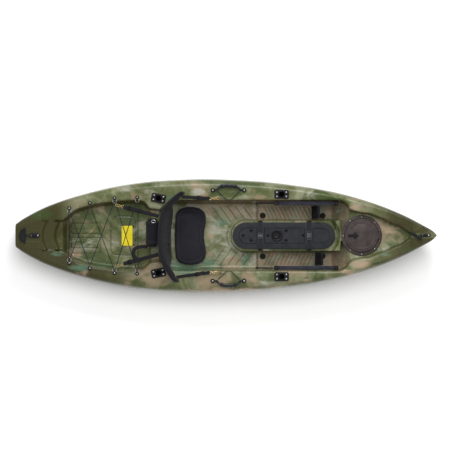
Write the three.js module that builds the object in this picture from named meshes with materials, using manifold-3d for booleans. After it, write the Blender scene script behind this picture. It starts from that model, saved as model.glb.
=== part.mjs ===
// A sit-on-top fishing kayak, in millimetres. +X is the bow, +Y is port and +Z is up.
// The origin is on the ground under the middle of the hull.
import * as THREE from "three";
import { mergeVertices } from "three/addons/utils/BufferGeometryUtils.js";
import Module from "manifold-3d";

const wasm = await Module();
wasm.setup();

// Driving dimensions
const LENGTH = 3050;
const BOW = LENGTH / 2;
const STERN = -BOW;
const WALL = 5; // skin of the hull
const GAP = 0.4; // clearance between touching pieces
const TANK_FLOOR = 190;
const BRIDGE_TOP = 250; // deck between tankwell and seat
const SEAT_FLOOR = 130;
const FOOT_FLOOR = 93;
const CONSOLE_TOP = 215;
const CONSOLE_HALF = 108;
const CONSOLE_AFT = 40;
const BOW_FLOOR = 285;
const HATCH_X = 986;
const SCUPPERS = [[270, 149], [707, 147]];
const SCUPPER_R = 15.4;
const SCUPPER_SIDES = 12;
const HATCH_HOLE_R = 114;
const CONSOLE_MOUTH = { aft: 118, fore: 732, half: 64 };
const CUT = 20; // how far an opening's cutter reaches past the deck on each side
const ROD_HOLDERS = [
  { name: "rear", x: -488, y: 271, yaw: 11 },
  { name: "front", x: 405, y: 298, yaw: 0 },
];
const ROD_TUBE_R = 24;

// Colours
const plastic = (color, roughness) => new THREE.MeshStandardMaterial({ color, roughness, metalness: 0 });
const metal = (color, roughness) => new THREE.MeshStandardMaterial({ color, roughness, metalness: 1 });
const CAMO = plastic("#6d7050", 0.42);
const BLACK = plastic("#17181b", 0.5);
const DARK_GREY = plastic("#3c3d43", 0.6);
const RUBBER = plastic("#101012", 0.85);
const FABRIC = plastic("#1d1d22", 0.95);
const WEBBING = plastic("#121214", 0.9);
const YELLOW = plastic("#e6cf1c", 0.5);
const STEEL = metal("#c8c8c8", 0.3);
const BRASS = metal("#c9a765", 0.3);
const ALUMINIUM = metal("#4a4b52", 0.45);

// ---- Geometry helpers ----

// Straight lines through [x, value] pairs.
function linear(pairs) {
  return (x) => {
    const next = pairs.findIndex((pair) => pair[0] >= x);
    if (next === 0) return pairs[0][1];
    if (next < 0) return pairs[pairs.length - 1][1];
    const [x0, v0] = pairs[next - 1];
    const [x1, v1] = pairs[next];
    return v0 + ((v1 - v0) * (x - x0)) / (x1 - x0);
  };
}

// A smooth curve through [x, value] pairs that never overshoots them.
function smooth(pairs) {
  const slope = pairs.slice(1).map((p, i) => (p[1] - pairs[i][1]) / (p[0] - pairs[i][0]));
  const tangent = pairs.map((_, i) => {
    if (i === 0) return slope[0];
    if (i === slope.length) return slope[i - 1];
    const [a, b] = [slope[i - 1], slope[i]];
    return a * b <= 0 ? 0 : (2 * a * b) / (a + b);
  });
  return (x) => {
    const found = pairs.findIndex((pair) => pair[0] >= x);
    const i = Math.min(Math.max((found < 0 ? pairs.length : found) - 1, 0), slope.length - 1);
    const h = pairs[i + 1][0] - pairs[i][0];
    const t = THREE.MathUtils.clamp((x - pairs[i][0]) / h, 0, 1);
    const ease = t * t * (3 - 2 * t);
    const bend = h * t * (1 - t) * (tangent[i] * (1 - t) - tangent[i + 1] * t);
    return pairs[i][1] * (1 - ease) + pairs[i + 1][1] * ease + bend;
  };
}

// A closed body through equal closed rings of points, with flat ends.
function loft(rings) {
  const count = rings[0].length;
  const index = [];
  for (let i = 0; i < rings.length - 1; i++) {
    for (let j = 0; j < count; j++) {
      const a = i * count + j;
      const b = i * count + ((j + 1) % count);
      index.push(a, b, a + count, b, b + count, a + count);
    }
  }
  const last = (rings.length - 1) * count;
  for (const [ring, start, front] of [[rings[0], 0, false], [rings.at(-1), last, true]]) {
    for (const [a, b, c] of endCap(ring)) {
      index.push(start + a, start + (front ? b : c), start + (front ? c : b));
    }
  }
  const numbers = rings.flat().flatMap((p) => p.toArray());
  const geometry = new THREE.BufferGeometry();
  geometry.setAttribute("position", new THREE.Float32BufferAttribute(numbers, 3));
  geometry.setIndex(index);
  return facingOut(geometry);
}

// Triangles of a flat ring, wound the way the ring runs.
function endCap(ring) {
  const normal = new THREE.Vector3();
  ring.forEach((p, i) => normal.add(p.clone().cross(ring[(i + 1) % ring.length])));
  normal.normalize();
  const across = new THREE.Vector3(0, 0, 1).cross(normal);
  if (across.length() < 0.1) across.set(1, 0, 0);
  across.normalize();
  const up = normal.clone().cross(across);
  const flat = ring.map((p) => new THREE.Vector2(p.dot(across), p.dot(up)));
  return THREE.ShapeUtils.triangulateShape(flat, []);
}

// The same geometry with its faces turned outwards.
function facingOut(geometry) {
  const point = geometry.attributes.position;
  const [a, b, c] = [new THREE.Vector3(), new THREE.Vector3(), new THREE.Vector3()];
  const index = geometry.index.array;
  let volume = 0;
  for (let i = 0; i < index.length; i += 3) {
    a.fromBufferAttribute(point, index[i]);
    b.fromBufferAttribute(point, index[i + 1]);
    c.fromBufferAttribute(point, index[i + 2]);
    volume += a.dot(b.cross(c));
  }
  if (volume < 0) {
    for (let i = 0; i < index.length; i += 3) [index[i], index[i + 1]] = [index[i + 1], index[i]];
  }
  geometry.computeVertexNormals();
  return geometry;
}

function solidOf(geometry) {
  const bare = geometry.clone();
  bare.deleteAttribute("normal");
  bare.deleteAttribute("uv");
  const merged = mergeVertices(bare, 1e-3);
  const mesh = { numProp: 3, vertProperties: merged.attributes.position.array, triVerts: merged.index.array };
  return new wasm.Manifold(new wasm.Mesh(mesh));
}

function geometryOf(solid) {
  const mesh = solid.getMesh();
  const geometry = new THREE.BufferGeometry();
  geometry.setAttribute("position", new THREE.BufferAttribute(mesh.vertProperties, 3));
  geometry.setIndex(new THREE.BufferAttribute(mesh.triVerts, 1));
  geometry.computeVertexNormals();
  return geometry;
}

const joined = (first, ...rest) =>
  geometryOf(rest.reduce((solid, geometry) => solid.add(solidOf(geometry)), solidOf(first)));
const cutBy = (first, ...rest) =>
  geometryOf(rest.reduce((solid, geometry) => solid.subtract(solidOf(geometry)), solidOf(first)));

// An upright cylinder from z0 to z1.
function post(radius, x, y, z0, z1, sides = 20) {
  const geometry = new THREE.CylinderGeometry(radius, radius, z1 - z0, sides);
  return geometry.rotateX(Math.PI / 2).translate(x, y, (z0 + z1) / 2);
}

function block(x0, x1, y0, y1, z0, z1) {
  const geometry = new THREE.BoxGeometry(x1 - x0, y1 - y0, z1 - z0);
  return geometry.translate((x0 + x1) / 2, (y0 + y1) / 2, (z0 + z1) / 2);
}

// A body turned about the upright axis through x, y. Its profile is [radius, z] pairs.
function turned(profile, sides = 24, x = 0, y = 0) {
  const geometry = new THREE.LatheGeometry(profile.map(([r, z]) => new THREE.Vector2(r, z)), sides);
  return geometry.rotateX(Math.PI / 2).translate(x, y, 0);
}

// A flat shape in X and Y, raised from z0 to z1.
function raised(shape, z0, z1, curveSegments = 8) {
  const geometry = new THREE.ExtrudeGeometry(shape, { depth: z1 - z0, bevelEnabled: false, curveSegments });
  return geometry.translate(0, 0, z0);
}

// An outline with half-round ends, from x0 to x1.
function stadium(x0, x1, half, target = new THREE.Shape()) {
  target.moveTo(x0 + half, -half);
  target.lineTo(x1 - half, -half);
  target.absarc(x1 - half, 0, half, -Math.PI / 2, Math.PI / 2, false);
  target.lineTo(x0 + half, half);
  target.absarc(x0 + half, 0, half, Math.PI / 2, (3 * Math.PI) / 2, false);
  return target;
}

function roundHole(x, y, radius) {
  const hole = new THREE.Path();
  hole.absarc(x, y, radius, 0, Math.PI * 2, true);
  return hole;
}

// A route of straight runs between points, with one step of the tube for each run.
class Route extends THREE.Curve {
  constructor(points) {
    super();
    this.points = points.map((p) => new THREE.Vector3(...p));
  }

  getPoint(t, target = new THREE.Vector3()) {
    const place = THREE.MathUtils.clamp(t, 0, 1) * (this.points.length - 1);
    const i = Math.min(Math.floor(place), this.points.length - 2);
    return target.lerpVectors(this.points[i], this.points[i + 1], place - i);
  }

  getPointAt(u, target) {
    return this.getPoint(u, target);
  }

  getTangentAt(u, target) {
    return this.getTangent(u, target);
  }
}

// A round tube along hand-placed points.
function tube(points, radius, sides = 8) {
  const section = new THREE.Shape();
  for (let i = 0; i < sides; i++) {
    const angle = (i * 2 * Math.PI) / sides;
    const place = [radius * Math.cos(angle), radius * Math.sin(angle)];
    if (i === 0) section.moveTo(...place);
    else section.lineTo(...place);
  }
  const options = { steps: points.length - 1, extrudePath: new Route(points), bevelEnabled: false };
  return new THREE.ExtrudeGeometry(section, options);
}

// A bar of the given width and thickness between two points, lying as flat as it can.
function bar(from, to, width, thickness, shape) {
  const [a, b] = [new THREE.Vector3(...from), new THREE.Vector3(...to)];
  const along = b.clone().sub(a);
  const geometry = shape ?? new THREE.BoxGeometry(along.length(), width, thickness);
  const x = along.clone().normalize();
  const y = new THREE.Vector3(0, 0, 1).cross(x).normalize();
  const turn = new THREE.Matrix4().makeBasis(x, y, x.clone().cross(y));
  return geometry.applyMatrix4(turn.setPosition(a.add(b).multiplyScalar(0.5)));
}

// ---- Model ----

const kayak = new THREE.Group();

function piece(name, geometry, material) {
  const mesh = new THREE.Mesh(geometry, material);
  mesh.name = name;
  kayak.add(mesh);
  return mesh;
}

// Calls make for port (+1) and starboard (-1).
function bothSides(make) {
  make("port", 1);
  make("starboard", -1);
}

// ---- Hull ----

const halfBeam = smooth([
  [STERN, 84], [-1465, 127], [-1291, 218], [-1058, 298], [-768, 367], [-477, 403], [-160, 415],
  [220, 400], [568, 360], [801, 317], [1033, 252], [1265, 161], [1440, 69], [1498, 33], [BOW, 5],
]);
const keelLine = smooth([
  [STERN, 135], [-1400, 66], [-1200, 22], [-950, 4], [-700, 0], [750, 0], [1000, 10], [1250, 48],
  [1400, 112], [1480, 190], [BOW, 275],
]);
const gunwale = smooth([
  [STERN, 316], [-1250, 300], [-700, 300], [-200, 312], [300, 326], [800, 346], [1200, 374], [BOW, 396],
]);
// Height of the recessed deck outside the console.
const floorLine = linear([
  [STERN, 322], [-1335, 305], [-1320, 288], [-1245, 284], [-1230, 262], [-1180, 258],
  [-1160, TANK_FLOOR], [-556, TANK_FLOOR], [-545, BRIDGE_TOP], [-478, BRIDGE_TOP],
  [-466, SEAT_FLOOR + 4], [-140, SEAT_FLOOR], [225, SEAT_FLOOR - 6], [233, FOOT_FLOOR],
  [775, FOOT_FLOOR], [900, BOW_FLOOR], [1140, BOW_FLOOR], [1330, 318], [1345, 386], [BOW, 402],
]);
// Height of the deck on the centreline, which the console raises.
const centreLine = (x) => {
  if (x < CONSOLE_AFT + 6 || x > 900) return floorLine(x);
  return linear([[806, CONSOLE_TOP], [832, BOW_FLOOR]])(x);
};
const wellHalf = linear([
  [STERN, 60], [-1335, 108], [-1180, 112], [-1088, 190], [-1010, 214], [-930, 232], [-773, 253],
  [-640, 258], [-600, 250], [-575, 230], [-556, 200], [-545, 198], [-478, 190], [-466, 195],
  [-430, 235], [-390, 252], [-340, 257], [832, 257], [860, 246], [885, 216], [900, 190],
  [975, 168], [1040, 162], [1125, 129], [1185, 102], [1265, 67], [1330, 22], [1345, 20], [BOW, 20],
]);
// How far the foot of the well's side wall lies inside its top.
const wallSlope = linear([
  [STERN, 8], [-1200, 12], [-1100, 24], [-575, 24], [-545, 14], [-466, 14], [-430, 24], [225, 24],
  [233, 18], [840, 18], [900, 14], [1265, 12], [BOW, 6],
]);
function consoleHalf(x) {
  const centre = CONSOLE_AFT + CONSOLE_HALF;
  const run = Math.max(centre - Math.max(x, CONSOLE_AFT + 6), 0);
  return Math.sqrt(CONSOLE_HALF ** 2 - run ** 2);
}

const STATIONS = [
  STERN, -1465, -1335, -1320, -1245, -1230, -1180, -1160, -1088, -930, -773, -640, -575, -556, -545,
  -478, -466, -430, -390, -140, CONSOLE_AFT, CONSOLE_AFT + 6, 62, 95, 148, 225, 233, 420, 600, 775,
  806, 832, 885, 900, 1040, 1140, 1265, 1330, 1345, 1400, 1450, 1490, 1512, BOW,
];

// The least or greatest of a line within reach of x, so that a skin keeps its thickness at a step.
function within(line, x, reach, pick) {
  return pick(...[-1, -0.5, 0, 0.5, 1].map((share) => line(x + share * reach)));
}

// One closed section of the hull: the outside when skin is 0, or the hollow inside a skin.
function hullSection(x, skin) {
  const beam = halfBeam(x) - skin;
  const keel = keelLine(x) + skin;
  const rim = gunwale(x) - skin;
  const widest = keel + (rim - keel) * 0.62;
  const bilge = widest - keel;
  const wellFoot = (at) => wellHalf(at) - wallSlope(at);
  const top = Math.min(within(wellHalf, x, skin, Math.max) + skin, beam * 0.83);
  const foot = Math.min(within(wellFoot, x, skin, Math.max) + skin, top - beam * 0.04);
  const crest = Math.min(within(consoleHalf, x, skin, Math.min) - skin, foot * 0.6);
  const floor = within(floorLine, x, skin, Math.min) - skin;
  const centre = within(centreLine, x, skin, Math.min) - skin;
  const half = [
    [0, centre], [crest, centre], [crest + Math.min(12, (foot - crest) / 2), floor], [foot, floor],
    [top, Math.max(rim - 8, floor + 1)], [beam * 0.87, rim], [beam * 0.97, rim - bilge * 0.12],
    [beam, widest], [beam * 0.975, keel + bilge * 0.52], [beam * 0.87, keel + bilge * 0.22],
    [beam * 0.53, keel], [beam * 0.47, keel], [beam * 0.3, keel + Math.min(18, bilge * 0.1)],
    [beam * 0.15, keel], [0, keel],
  ];
  const mirrored = half.slice(1, -1).reverse().map(([y, z]) => [-y, z]);
  return [...half, ...mirrored].map(([y, z]) => new THREE.Vector3(x, y, z));
}

function hull() {
  const outside = solidOf(loft(STATIONS.map((x) => hullSection(x, 0))));
  // The hollow keeps its steps one skin away from the steps of the deck.
  const insideStations = STATIONS.filter((x) => x > STERN && x < 1490).map((x) => {
    const fall = floorLine(x + 12) - floorLine(x - 12);
    return x + Math.sign(fall) * (Math.abs(fall) > 15 ? WALL : 0);
  });
  const hollow = solidOf(loft([STERN + WALL, ...insideStations].map((x) => hullSection(x, WALL))));
  let shell = outside;
  let space = hollow;
  bothSides((_, side) => {
    for (const [x, y] of SCUPPERS) {
      const [low, high] = [-CUT, FOOT_FLOOR + 3 * CUT];
      shell = shell.subtract(solidOf(post(SCUPPER_R, x, side * y, low, high, SCUPPER_SIDES)));
      space = space.subtract(solidOf(post(SCUPPER_R + WALL, x, side * y, low, high, SCUPPER_SIDES)));
    }
    for (const { x, y } of ROD_HOLDERS) {
      shell = shell.subtract(solidOf(post(ROD_TUBE_R + GAP, x, side * y, BOW_FLOOR, 360)));
    }
  });
  shell = shell.subtract(space);
  shell = shell.subtract(solidOf(post(HATCH_HOLE_R, HATCH_X, 0, BOW_FLOOR - CUT, BOW_FLOOR + CUT, 32)));
  const mouth = stadium(CONSOLE_MOUTH.aft, CONSOLE_MOUTH.fore, CONSOLE_MOUTH.half);
  shell = shell.subtract(solidOf(raised(mouth, CONSOLE_TOP - CUT, CONSOLE_TOP + CUT)));
  return geometryOf(shell);
}

const hullMesh = piece("hull", hull(), CAMO);
hullMesh.updateMatrixWorld(true);

// Height of the highest deck point under a rectangle, plus a little clearance.
function deckUnder(x0, x1, y0, y1) {
  const caster = new THREE.Raycaster();
  const down = new THREE.Vector3(0, 0, -1);
  const above = 600;
  const aside = 0.01; // keeps the rays off the edges of the mesh
  const shares = [0, 1 / 6, 2 / 6, 3 / 6, 4 / 6, 5 / 6, 1];
  let highest = 0;
  for (const u of shares) {
    for (const v of shares) {
      const start = new THREE.Vector3(x0 + (x1 - x0) * u + aside, y0 + (y1 - y0) * v + aside, above);
      caster.set(start, down);
      highest = Math.max(highest, caster.intersectObject(hullMesh)[0]?.point.z ?? 0);
    }
  }
  return highest + 2 * GAP;
}

// ---- Scupper plugs and rod holders ----

const PLUG_PROFILE = [
  [0, -46], [11, -46], [14.6, 0], [21, 0], [21, 5], [15, 8], [13, 4], [6, 4], [5, 9], [0, 9],
];

bothSides((label, side) => {
  SCUPPERS.forEach(([x, y], i) => {
    const geometry = turned(PLUG_PROFILE, SCUPPER_SIDES, x, side * y).translate(0, 0, FOOT_FLOOR + GAP);
    piece(`scupper_plug_${["aft", "fore"][i]}_${label}`, geometry, BLACK);
  });
});

const PLATE = { length: 105, width: 65, thick: 5, corner: 14 };
const ROD_BORE_R = 20.5;
const ROD_TUBE_DEPTH = 190;

function roundedPlate(length, width, corner) {
  const [x, y] = [length / 2, width / 2];
  const shape = new THREE.Shape();
  shape.moveTo(-x + corner, -y);
  shape.absarc(x - corner, -y + corner, corner, -Math.PI / 2, 0, false);
  shape.absarc(x - corner, y - corner, corner, 0, Math.PI / 2, false);
  shape.absarc(-x + corner, y - corner, corner, Math.PI / 2, Math.PI, false);
  shape.absarc(-x + corner, -y + corner, corner, Math.PI, (3 * Math.PI) / 2, false);
  return shape;
}

for (const holder of ROD_HOLDERS) {
  bothSides((label, side) => {
    const { length, width, thick, corner } = PLATE;
    const plate = raised(roundedPlate(length, width, corner), 0, thick, 3);
    const sleeve = post(ROD_TUBE_R, 0, 0, -ROD_TUBE_DEPTH, thick / 2);
    const bore = post(ROD_BORE_R, 0, 0, 4 - ROD_TUBE_DEPTH, thick + 5);
    const geometry = cutBy(joined(plate, sleeve), bore);
    const [x, y] = [holder.x, side * holder.y];
    const deck = deckUnder(x - length / 2, x + length / 2, y - width / 2, y + width / 2);
    geometry.rotateZ(THREE.MathUtils.degToRad(-side * holder.yaw)).translate(x, y, deck);
    piece(`rod_holder_${holder.name}_${label}`, geometry, BLACK);
  });
}

// ---- Bow hatch ----

const HATCH_PIN = { x: HATCH_X + 131, z: BOW_FLOOR + 22, r: 3, half: 40 };
const HATCH_LID_TOP = BOW_FLOOR + 24;
const LATCH_X = 938;

const HATCH_RIM_PROFILE = [
  [104, -14], [111.5, -14], [111.5, 0], [147.5, 0], [147.5, 6], [143, 9.5], [125, 9.5], [125, 5],
  [104, 5], [104, -14],
];
const HATCH_SEAL_PROFILE = [[106, 5], [122, 5], [122, 8], [106, 8], [106, 5]];
const HATCH_LID_PROFILE = [
  [0, 9.2], [119, 9.2], [122, 12], [122, 16], [117, 21], [106, 21], [104, 23.6], [0, 23.6],
];

// A cylinder along Y about the hinge pin.
function alongPin(radius, y0, y1) {
  const geometry = new THREE.CylinderGeometry(radius, radius, y1 - y0, 12);
  return geometry.translate(HATCH_PIN.x, (y0 + y1) / 2, HATCH_PIN.z);
}

function bowHatch() {
  const base = BOW_FLOOR + GAP;
  const rim = turned(HATCH_RIM_PROFILE, 32, HATCH_X, 0).translate(0, 0, base);
  const ears = [1, -1].map((side) => {
    const [y0, y1] = side > 0 ? [24, 38] : [-38, -24];
    const ear = block(HATCH_PIN.x - 7, HATCH_PIN.x + 7, y0, y1, base + 3, HATCH_PIN.z);
    return joined(ear, alongPin(7, y0, y1));
  });
  const pinHole = alongPin(HATCH_PIN.r + GAP, -50, 50);
  piece("bow_hatch_rim", cutBy(joined(rim, ...ears), pinHole), DARK_GREY);
  const seal = turned(HATCH_SEAL_PROFILE, 32, HATCH_X, 0).translate(0, 0, base + GAP);
  piece("bow_hatch_seal", seal, RUBBER);
  const disc = turned(HATCH_LID_PROFILE, 32, HATCH_X, 0).translate(0, 0, base);
  const leaf = block(HATCH_X + 112, HATCH_PIN.x, -22, 22, base + 13, base + 20);
  const tab = joined(leaf, alongPin(7, -22, 22));
  piece("bow_hatch_lid", cutBy(joined(disc, tab), pinHole), DARK_GREY);
  piece("bow_hatch_hinge_pin", alongPin(HATCH_PIN.r, -HATCH_PIN.half, HATCH_PIN.half), STEEL);
  const knob = turned([[0, 0], [24, 0], [24, 6], [19, 11], [0, 11]], 20, LATCH_X, 0);
  const lever = block(LATCH_X - 51, LATCH_X - 10, -9, 9, 0, 7);
  piece("bow_hatch_latch", joined(knob, lever).translate(0, 0, HATCH_LID_TOP + GAP), BLACK);
}
bowHatch();

// ---- Centre console hatch ----

const LID = { aft: 51, fore: 797, half: 96, base: CONSOLE_TOP + 4, thick: 18 };
const LID_TOP = LID.base + LID.thick;
const LID_HOLES = [[126, 0], [185, 36], [185, -36], [307, 0], [439, 35], [439, -35], [564, 0]];
const CAP_X = 373;

function consoleHatch() {
  const outline = stadium(LID.aft, LID.fore, LID.half);
  outline.holes = LID_HOLES.map(([x, y]) => roundHole(x, y, 11));
  outline.holes.push(roundHole(CAP_X, 0, 31));
  piece("console_lid", raised(outline, LID.base, LID_TOP), DARK_GREY);
  const ring = stadium(84, 766, 84);
  ring.holes = [stadium(106, 744, 68, new THREE.Path())];
  piece("console_seal", raised(ring, CONSOLE_TOP + GAP, LID.base - GAP), RUBBER);
  const cap = [[0, -14], [30.4, -14], [30.4, 0], [41.5, 0], [41.5, 5], [36, 9], [0, 9]];
  const boss = turned([[0, 7], [26, 7], [26, 13], [22, 17], [0, 17]], 20, -6, 3);
  piece("console_cap", joined(turned(cap, 24), boss).translate(CAP_X, 0, LID_TOP + GAP), BLACK);
  for (const [name, x] of [["aft", 251], ["fore", 607]]) {
    const [inner, outer] = [LID.half + GAP, LID.half + 3];
    const [low, high] = [CONSOLE_TOP + GAP, LID_TOP + GAP];
    const [anchor, top] = [low + 4, high + 2.6];
    const profile = [
      [-outer - 8, low], [-inner, low], [-inner, high], [inner, high], [inner, low], [outer + 8, low],
      [outer + 8, anchor], [outer, anchor], [outer, top], [-outer, top], [-outer, anchor],
      [-outer - 8, anchor],
    ];
    const rings = [x - 14, x + 14].map((at) => profile.map(([y, z]) => new THREE.Vector3(at, y, z)));
    const buckle = block(x - 17, x + 17, -22, 22, high + 2, high + 9);
    piece(`console_strap_${name}`, joined(loft(rings), buckle), WEBBING);
  }
}
consoleHatch();

// ---- Foot braces ----

const RAIL = { aft: 353, fore: 815, y: 234, z: 283, half: 14, tall: 15, skin: 3, slot: 7 };
const ROD_AFT = 217;
const ROD_R = 4.5;
const PEDAL_X = { port: 650, starboard: 674 };
const PEDAL = { thick: 14, width: 93, height: 112, lean: 24, drop: 48 };
const KNOB = { r: 7.5, length: 20 };
const CARRIAGE = 30; // half length

bothSides((label, side) => {
  const { aft, fore, y, z, half, tall, skin, slot } = RAIL;
  const [inside, outside] = [y - half, y + half];
  const past = 9; // how far each cutter runs past the rail
  const outer = block(aft, fore, inside, outside, z - tall, z + tall);
  const [low, high] = [z - tall + skin, z + tall - skin];
  const channel = block(aft - past, fore + past, inside + skin, outside - skin, low, high);
  const mouth = block(aft - past, fore + past, inside - past, y, z - slot, z + slot);
  const mirror = (geometry) => (side > 0 ? geometry : flipped(geometry));
  piece(`foot_rail_${label}`, mirror(cutBy(outer, channel, mouth)), ALUMINIUM);
  const x = PEDAL_X[label];
  const room = half - skin - GAP;
  const slider = block(x - CARRIAGE, x + CARRIAGE, y - room, y + room, low + GAP, high - GAP);
  const neck = block(x - 18, x + 18, inside - 8, y - 2, z - slot + GAP, z + slot - GAP);
  const pad = new THREE.BoxGeometry(PEDAL.thick, PEDAL.width, PEDAL.height);
  pad.rotateY(THREE.MathUtils.degToRad(PEDAL.lean));
  pad.translate(x + 4, inside - 5 - PEDAL.width / 2, z - PEDAL.drop);
  piece(`foot_pedal_${label}`, mirror(joined(slider, neck, pad)), BLACK);
  const rodFore = x - CARRIAGE - GAP;
  const rod = new THREE.CylinderGeometry(ROD_R, ROD_R, rodFore - ROD_AFT, 12).rotateZ(Math.PI / 2);
  rod.translate((rodFore + ROD_AFT) / 2, y, z);
  const knob = new THREE.CylinderGeometry(KNOB.r, KNOB.r, KNOB.length, 12).rotateZ(Math.PI / 2);
  knob.translate(ROD_AFT + KNOB.length / 2, y, z);
  piece(`adjuster_rod_${label}`, mirror(joined(rod, knob)), BLACK);
});

// The mirror image across the centreline, with its faces still pointing out.
function flipped(geometry) {
  return facingOut(mergeVertices(geometry.clone().scale(1, -1, 1)));
}

// ---- Side handles and paddle keepers ----

const HANDLE = { aft: -94, fore: 134, y: 329, arch: 36, r: 10 };

bothSides((label, side) => {
  const { aft, fore, y, arch, r } = HANDLE;
  const deck = deckUnder(aft - 16, fore + 16, side * (y - 14), side * (y + arch));
  for (const [end, x] of [["aft", aft], ["fore", fore]]) {
    const pad = [[0, 0], [16, 0], [16, 6], [12, 11], [0, 11]];
    piece(`handle_pad_${end}_${label}`, turned(pad, 16, x, side * y).translate(0, 0, deck), BLACK);
  }
  const middle = (aft + fore) / 2;
  const reach = (fore - aft) / 2 - 27;
  const points = [-1, -0.86, -0.62, -0.32, 0, 0.32, 0.62, 0.86, 1].map((t) => {
    return [middle + t * reach, side * (y + arch * (1 - t ** 4)), deck + r + 1];
  });
  piece(`side_handle_${label}`, tube(points, r, 10), RUBBER);
  const cord = [
    [-58, y - 12], [-40, y - 26], [-16, y - 50], [2, y - 66], [12, y - 70], [30, y - 70], [40, y - 66],
    [60, y - 50], [82, y - 28], [98, y - 12],
  ];
  const keeper = deckUnder(-60, 100, side * (y - 66), side * (y - 10)) + 3;
  piece(`paddle_keeper_${label}`, tube(cord.map(([x, w]) => [x, side * w, keeper]), 2.5), RUBBER);
});

// ---- Bow and stern ----

// A two-screw deck plate with a raised eye.
function padEye(x0, x1, half, deck) {
  const plate = raised(stadium(x0, x1, half), deck, deck + 5, 5);
  const eye = block((x0 + x1) / 2 - 12, (x0 + x1) / 2 + 12, -5, 5, deck + 3, deck + 14);
  return joined(plate, eye);
}

const BOW_EYE = { aft: 1409, fore: 1482, half: 12 };
const STERN_EYE = { aft: -1427, fore: -1348, half: 17 };
const GRIP_R = 10;
const LEAD_R = 3; // short cords that hold the toggles
const MOON = { x: -1450, r: 54, depth: 47, thick: 20 };

function endFittings() {
  const bowDeck = deckUnder(BOW_EYE.aft, BOW_EYE.fore, -10, 10);
  piece("bow_pad_eye", padEye(BOW_EYE.aft, BOW_EYE.fore, BOW_EYE.half, bowDeck), BLACK);
  const gripLine = [[1337, 19, 0], [1345, 15, 0], [1378, -5, 0], [1410, -25, 0], [1418, -29, 0]];
  const grip = tube(gripLine, GRIP_R, 10);
  const lead = tube([[1380, -4, 0], [1396, -2, 0], [1429.4, 0, 0]], LEAD_R);
  const bowRest = Math.max(bowDeck, deckUnder(1337, 1418, -30, 20)) + GRIP_R + 1;
  const clearOfEye = block(BOW_EYE.aft - 1, 1490, -13, 13, 0, bowRest - 4);
  const toggle = joined(grip, lead).translate(0, 0, bowRest);
  piece("bow_toggle", cutBy(toggle, clearOfEye), BLACK);
  const sternDeck = deckUnder(STERN_EYE.aft, STERN_EYE.fore, -18, 18);
  piece("stern_pad_eye", padEye(STERN_EYE.aft, STERN_EYE.fore, STERN_EYE.half, sternDeck), BLACK);
  const moon = new THREE.Shape();
  moon.absarc(0, 0, MOON.r, Math.PI * 0.5, Math.PI * 1.5, false);
  const handle = raised(moon, 0, MOON.thick, 10).scale(MOON.depth / MOON.r, 1, 1);
  handle.translate(MOON.x, 0, 0);
  const middle = MOON.thick / 2;
  const cord = tube([[-1452, 0, middle], [-1438, 0, middle], [-1402, 0, middle]], LEAD_R);
  const sternRest = Math.max(sternDeck, deckUnder(-1498, MOON.x, -MOON.r, MOON.r));
  piece("stern_toggle", joined(handle, cord).translate(0, 0, sternRest), BLACK);
}
endFittings();

// ---- Tankwell rigging ----

const LOOPS = [["aft", -1134, 198], ["middle", -806, 272], ["fore", -642, 276]];
const BUTTON = { x: -985, y: 237 };
const ANCHOR_R = 14;
const BUTTON_PROFILE = [[0, 0], [9, 0], [8, 7], [14, 8], [14, 11], [9, 14], [0, 14]];
const WIRE_R = 2.2;
const CORD_R = 3;

bothSides((label, side) => {
  for (const [name, x, y] of LOOPS) {
    const deck = deckUnder(x - ANCHOR_R, x + ANCHOR_R, side * (y - ANCHOR_R), side * (y + ANCHOR_R));
    const pad = turned([[0, 0], [ANCHOR_R, 0], [ANCHOR_R, 6], [10, 9], [0, 9]], 14, x, side * y);
    const bend = [[-9, -6], [-13, -20], [-11, -33], [0, -39], [11, -33], [13, -20], [9, -6]];
    const wire = tube(bend.map(([along, across]) => [x + along, y + across, 4]), WIRE_R, 6);
    const loop = side > 0 ? wire : flipped(wire);
    piece(`deck_loop_${name}_${label}`, joined(pad, loop).translate(0, 0, deck), STEEL);
  }
  const { x, y } = BUTTON;
  const deck = deckUnder(x - ANCHOR_R, x + ANCHOR_R, side * (y - ANCHOR_R), side * (y + ANCHOR_R));
  piece(`cord_button_${label}`, turned(BUTTON_PROFILE, 14, x, side * y).translate(0, 0, deck), BLACK);
});

// The bungee laces round the loops and buttons as two zigzags and two straight crossings.
function bungee() {
  const height = 318;
  const corner = (x, y, lift) => {
    const side = Math.sign(y);
    const turn = [[-9, 34], [0, 24], [9, 34]];
    return turn.map(([along, inboard]) => [x + along, y - side * inboard, height + lift]);
  };
  const points = [
    [-1132, -4, height], ...corner(-1134, -198, 0),
    ...corner(-985, 237, 5), ...corner(-806, -272, -5), ...corner(-642, 276, 5),
    ...corner(-642, -276, 0).reverse(), ...corner(-806, 272, 5).reverse(),
    ...corner(-985, -237, -5).reverse(), ...corner(-1134, 198, 5).reverse(), [-1132, 4, height],
  ];
  return tube(points, CORD_R);
}
piece("bungee_cord", bungee(), RUBBER);
piece("deck_label", block(-757, -679, -72, 72, TANK_FLOOR + GAP, TANK_FLOOR + 2), YELLOW);

// ---- Seat ----

const RECLINE = Math.tan(THREE.MathUtils.degToRad(12));
const BACK_MIDDLE = 345; // height at which the plan curve is given
const BACK_THICK = 34;

function seatPad() {
  const shape = new THREE.Shape();
  shape.moveTo(-372, -150);
  shape.bezierCurveTo(-360, -205, -310, -218, -250, -218);
  shape.bezierCurveTo(-190, -218, -140, -190, -138, -130);
  shape.bezierCurveTo(-136, -80, -156, -50, -157, 0);
  shape.bezierCurveTo(-156, 50, -136, 80, -138, 130);
  shape.bezierCurveTo(-140, 190, -190, 218, -250, 218);
  shape.bezierCurveTo(-310, 218, -360, 205, -372, 150);
  shape.closePath();
  return raised(shape, SEAT_FLOOR + 5, SEAT_FLOOR + 42, 5);
}

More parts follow.
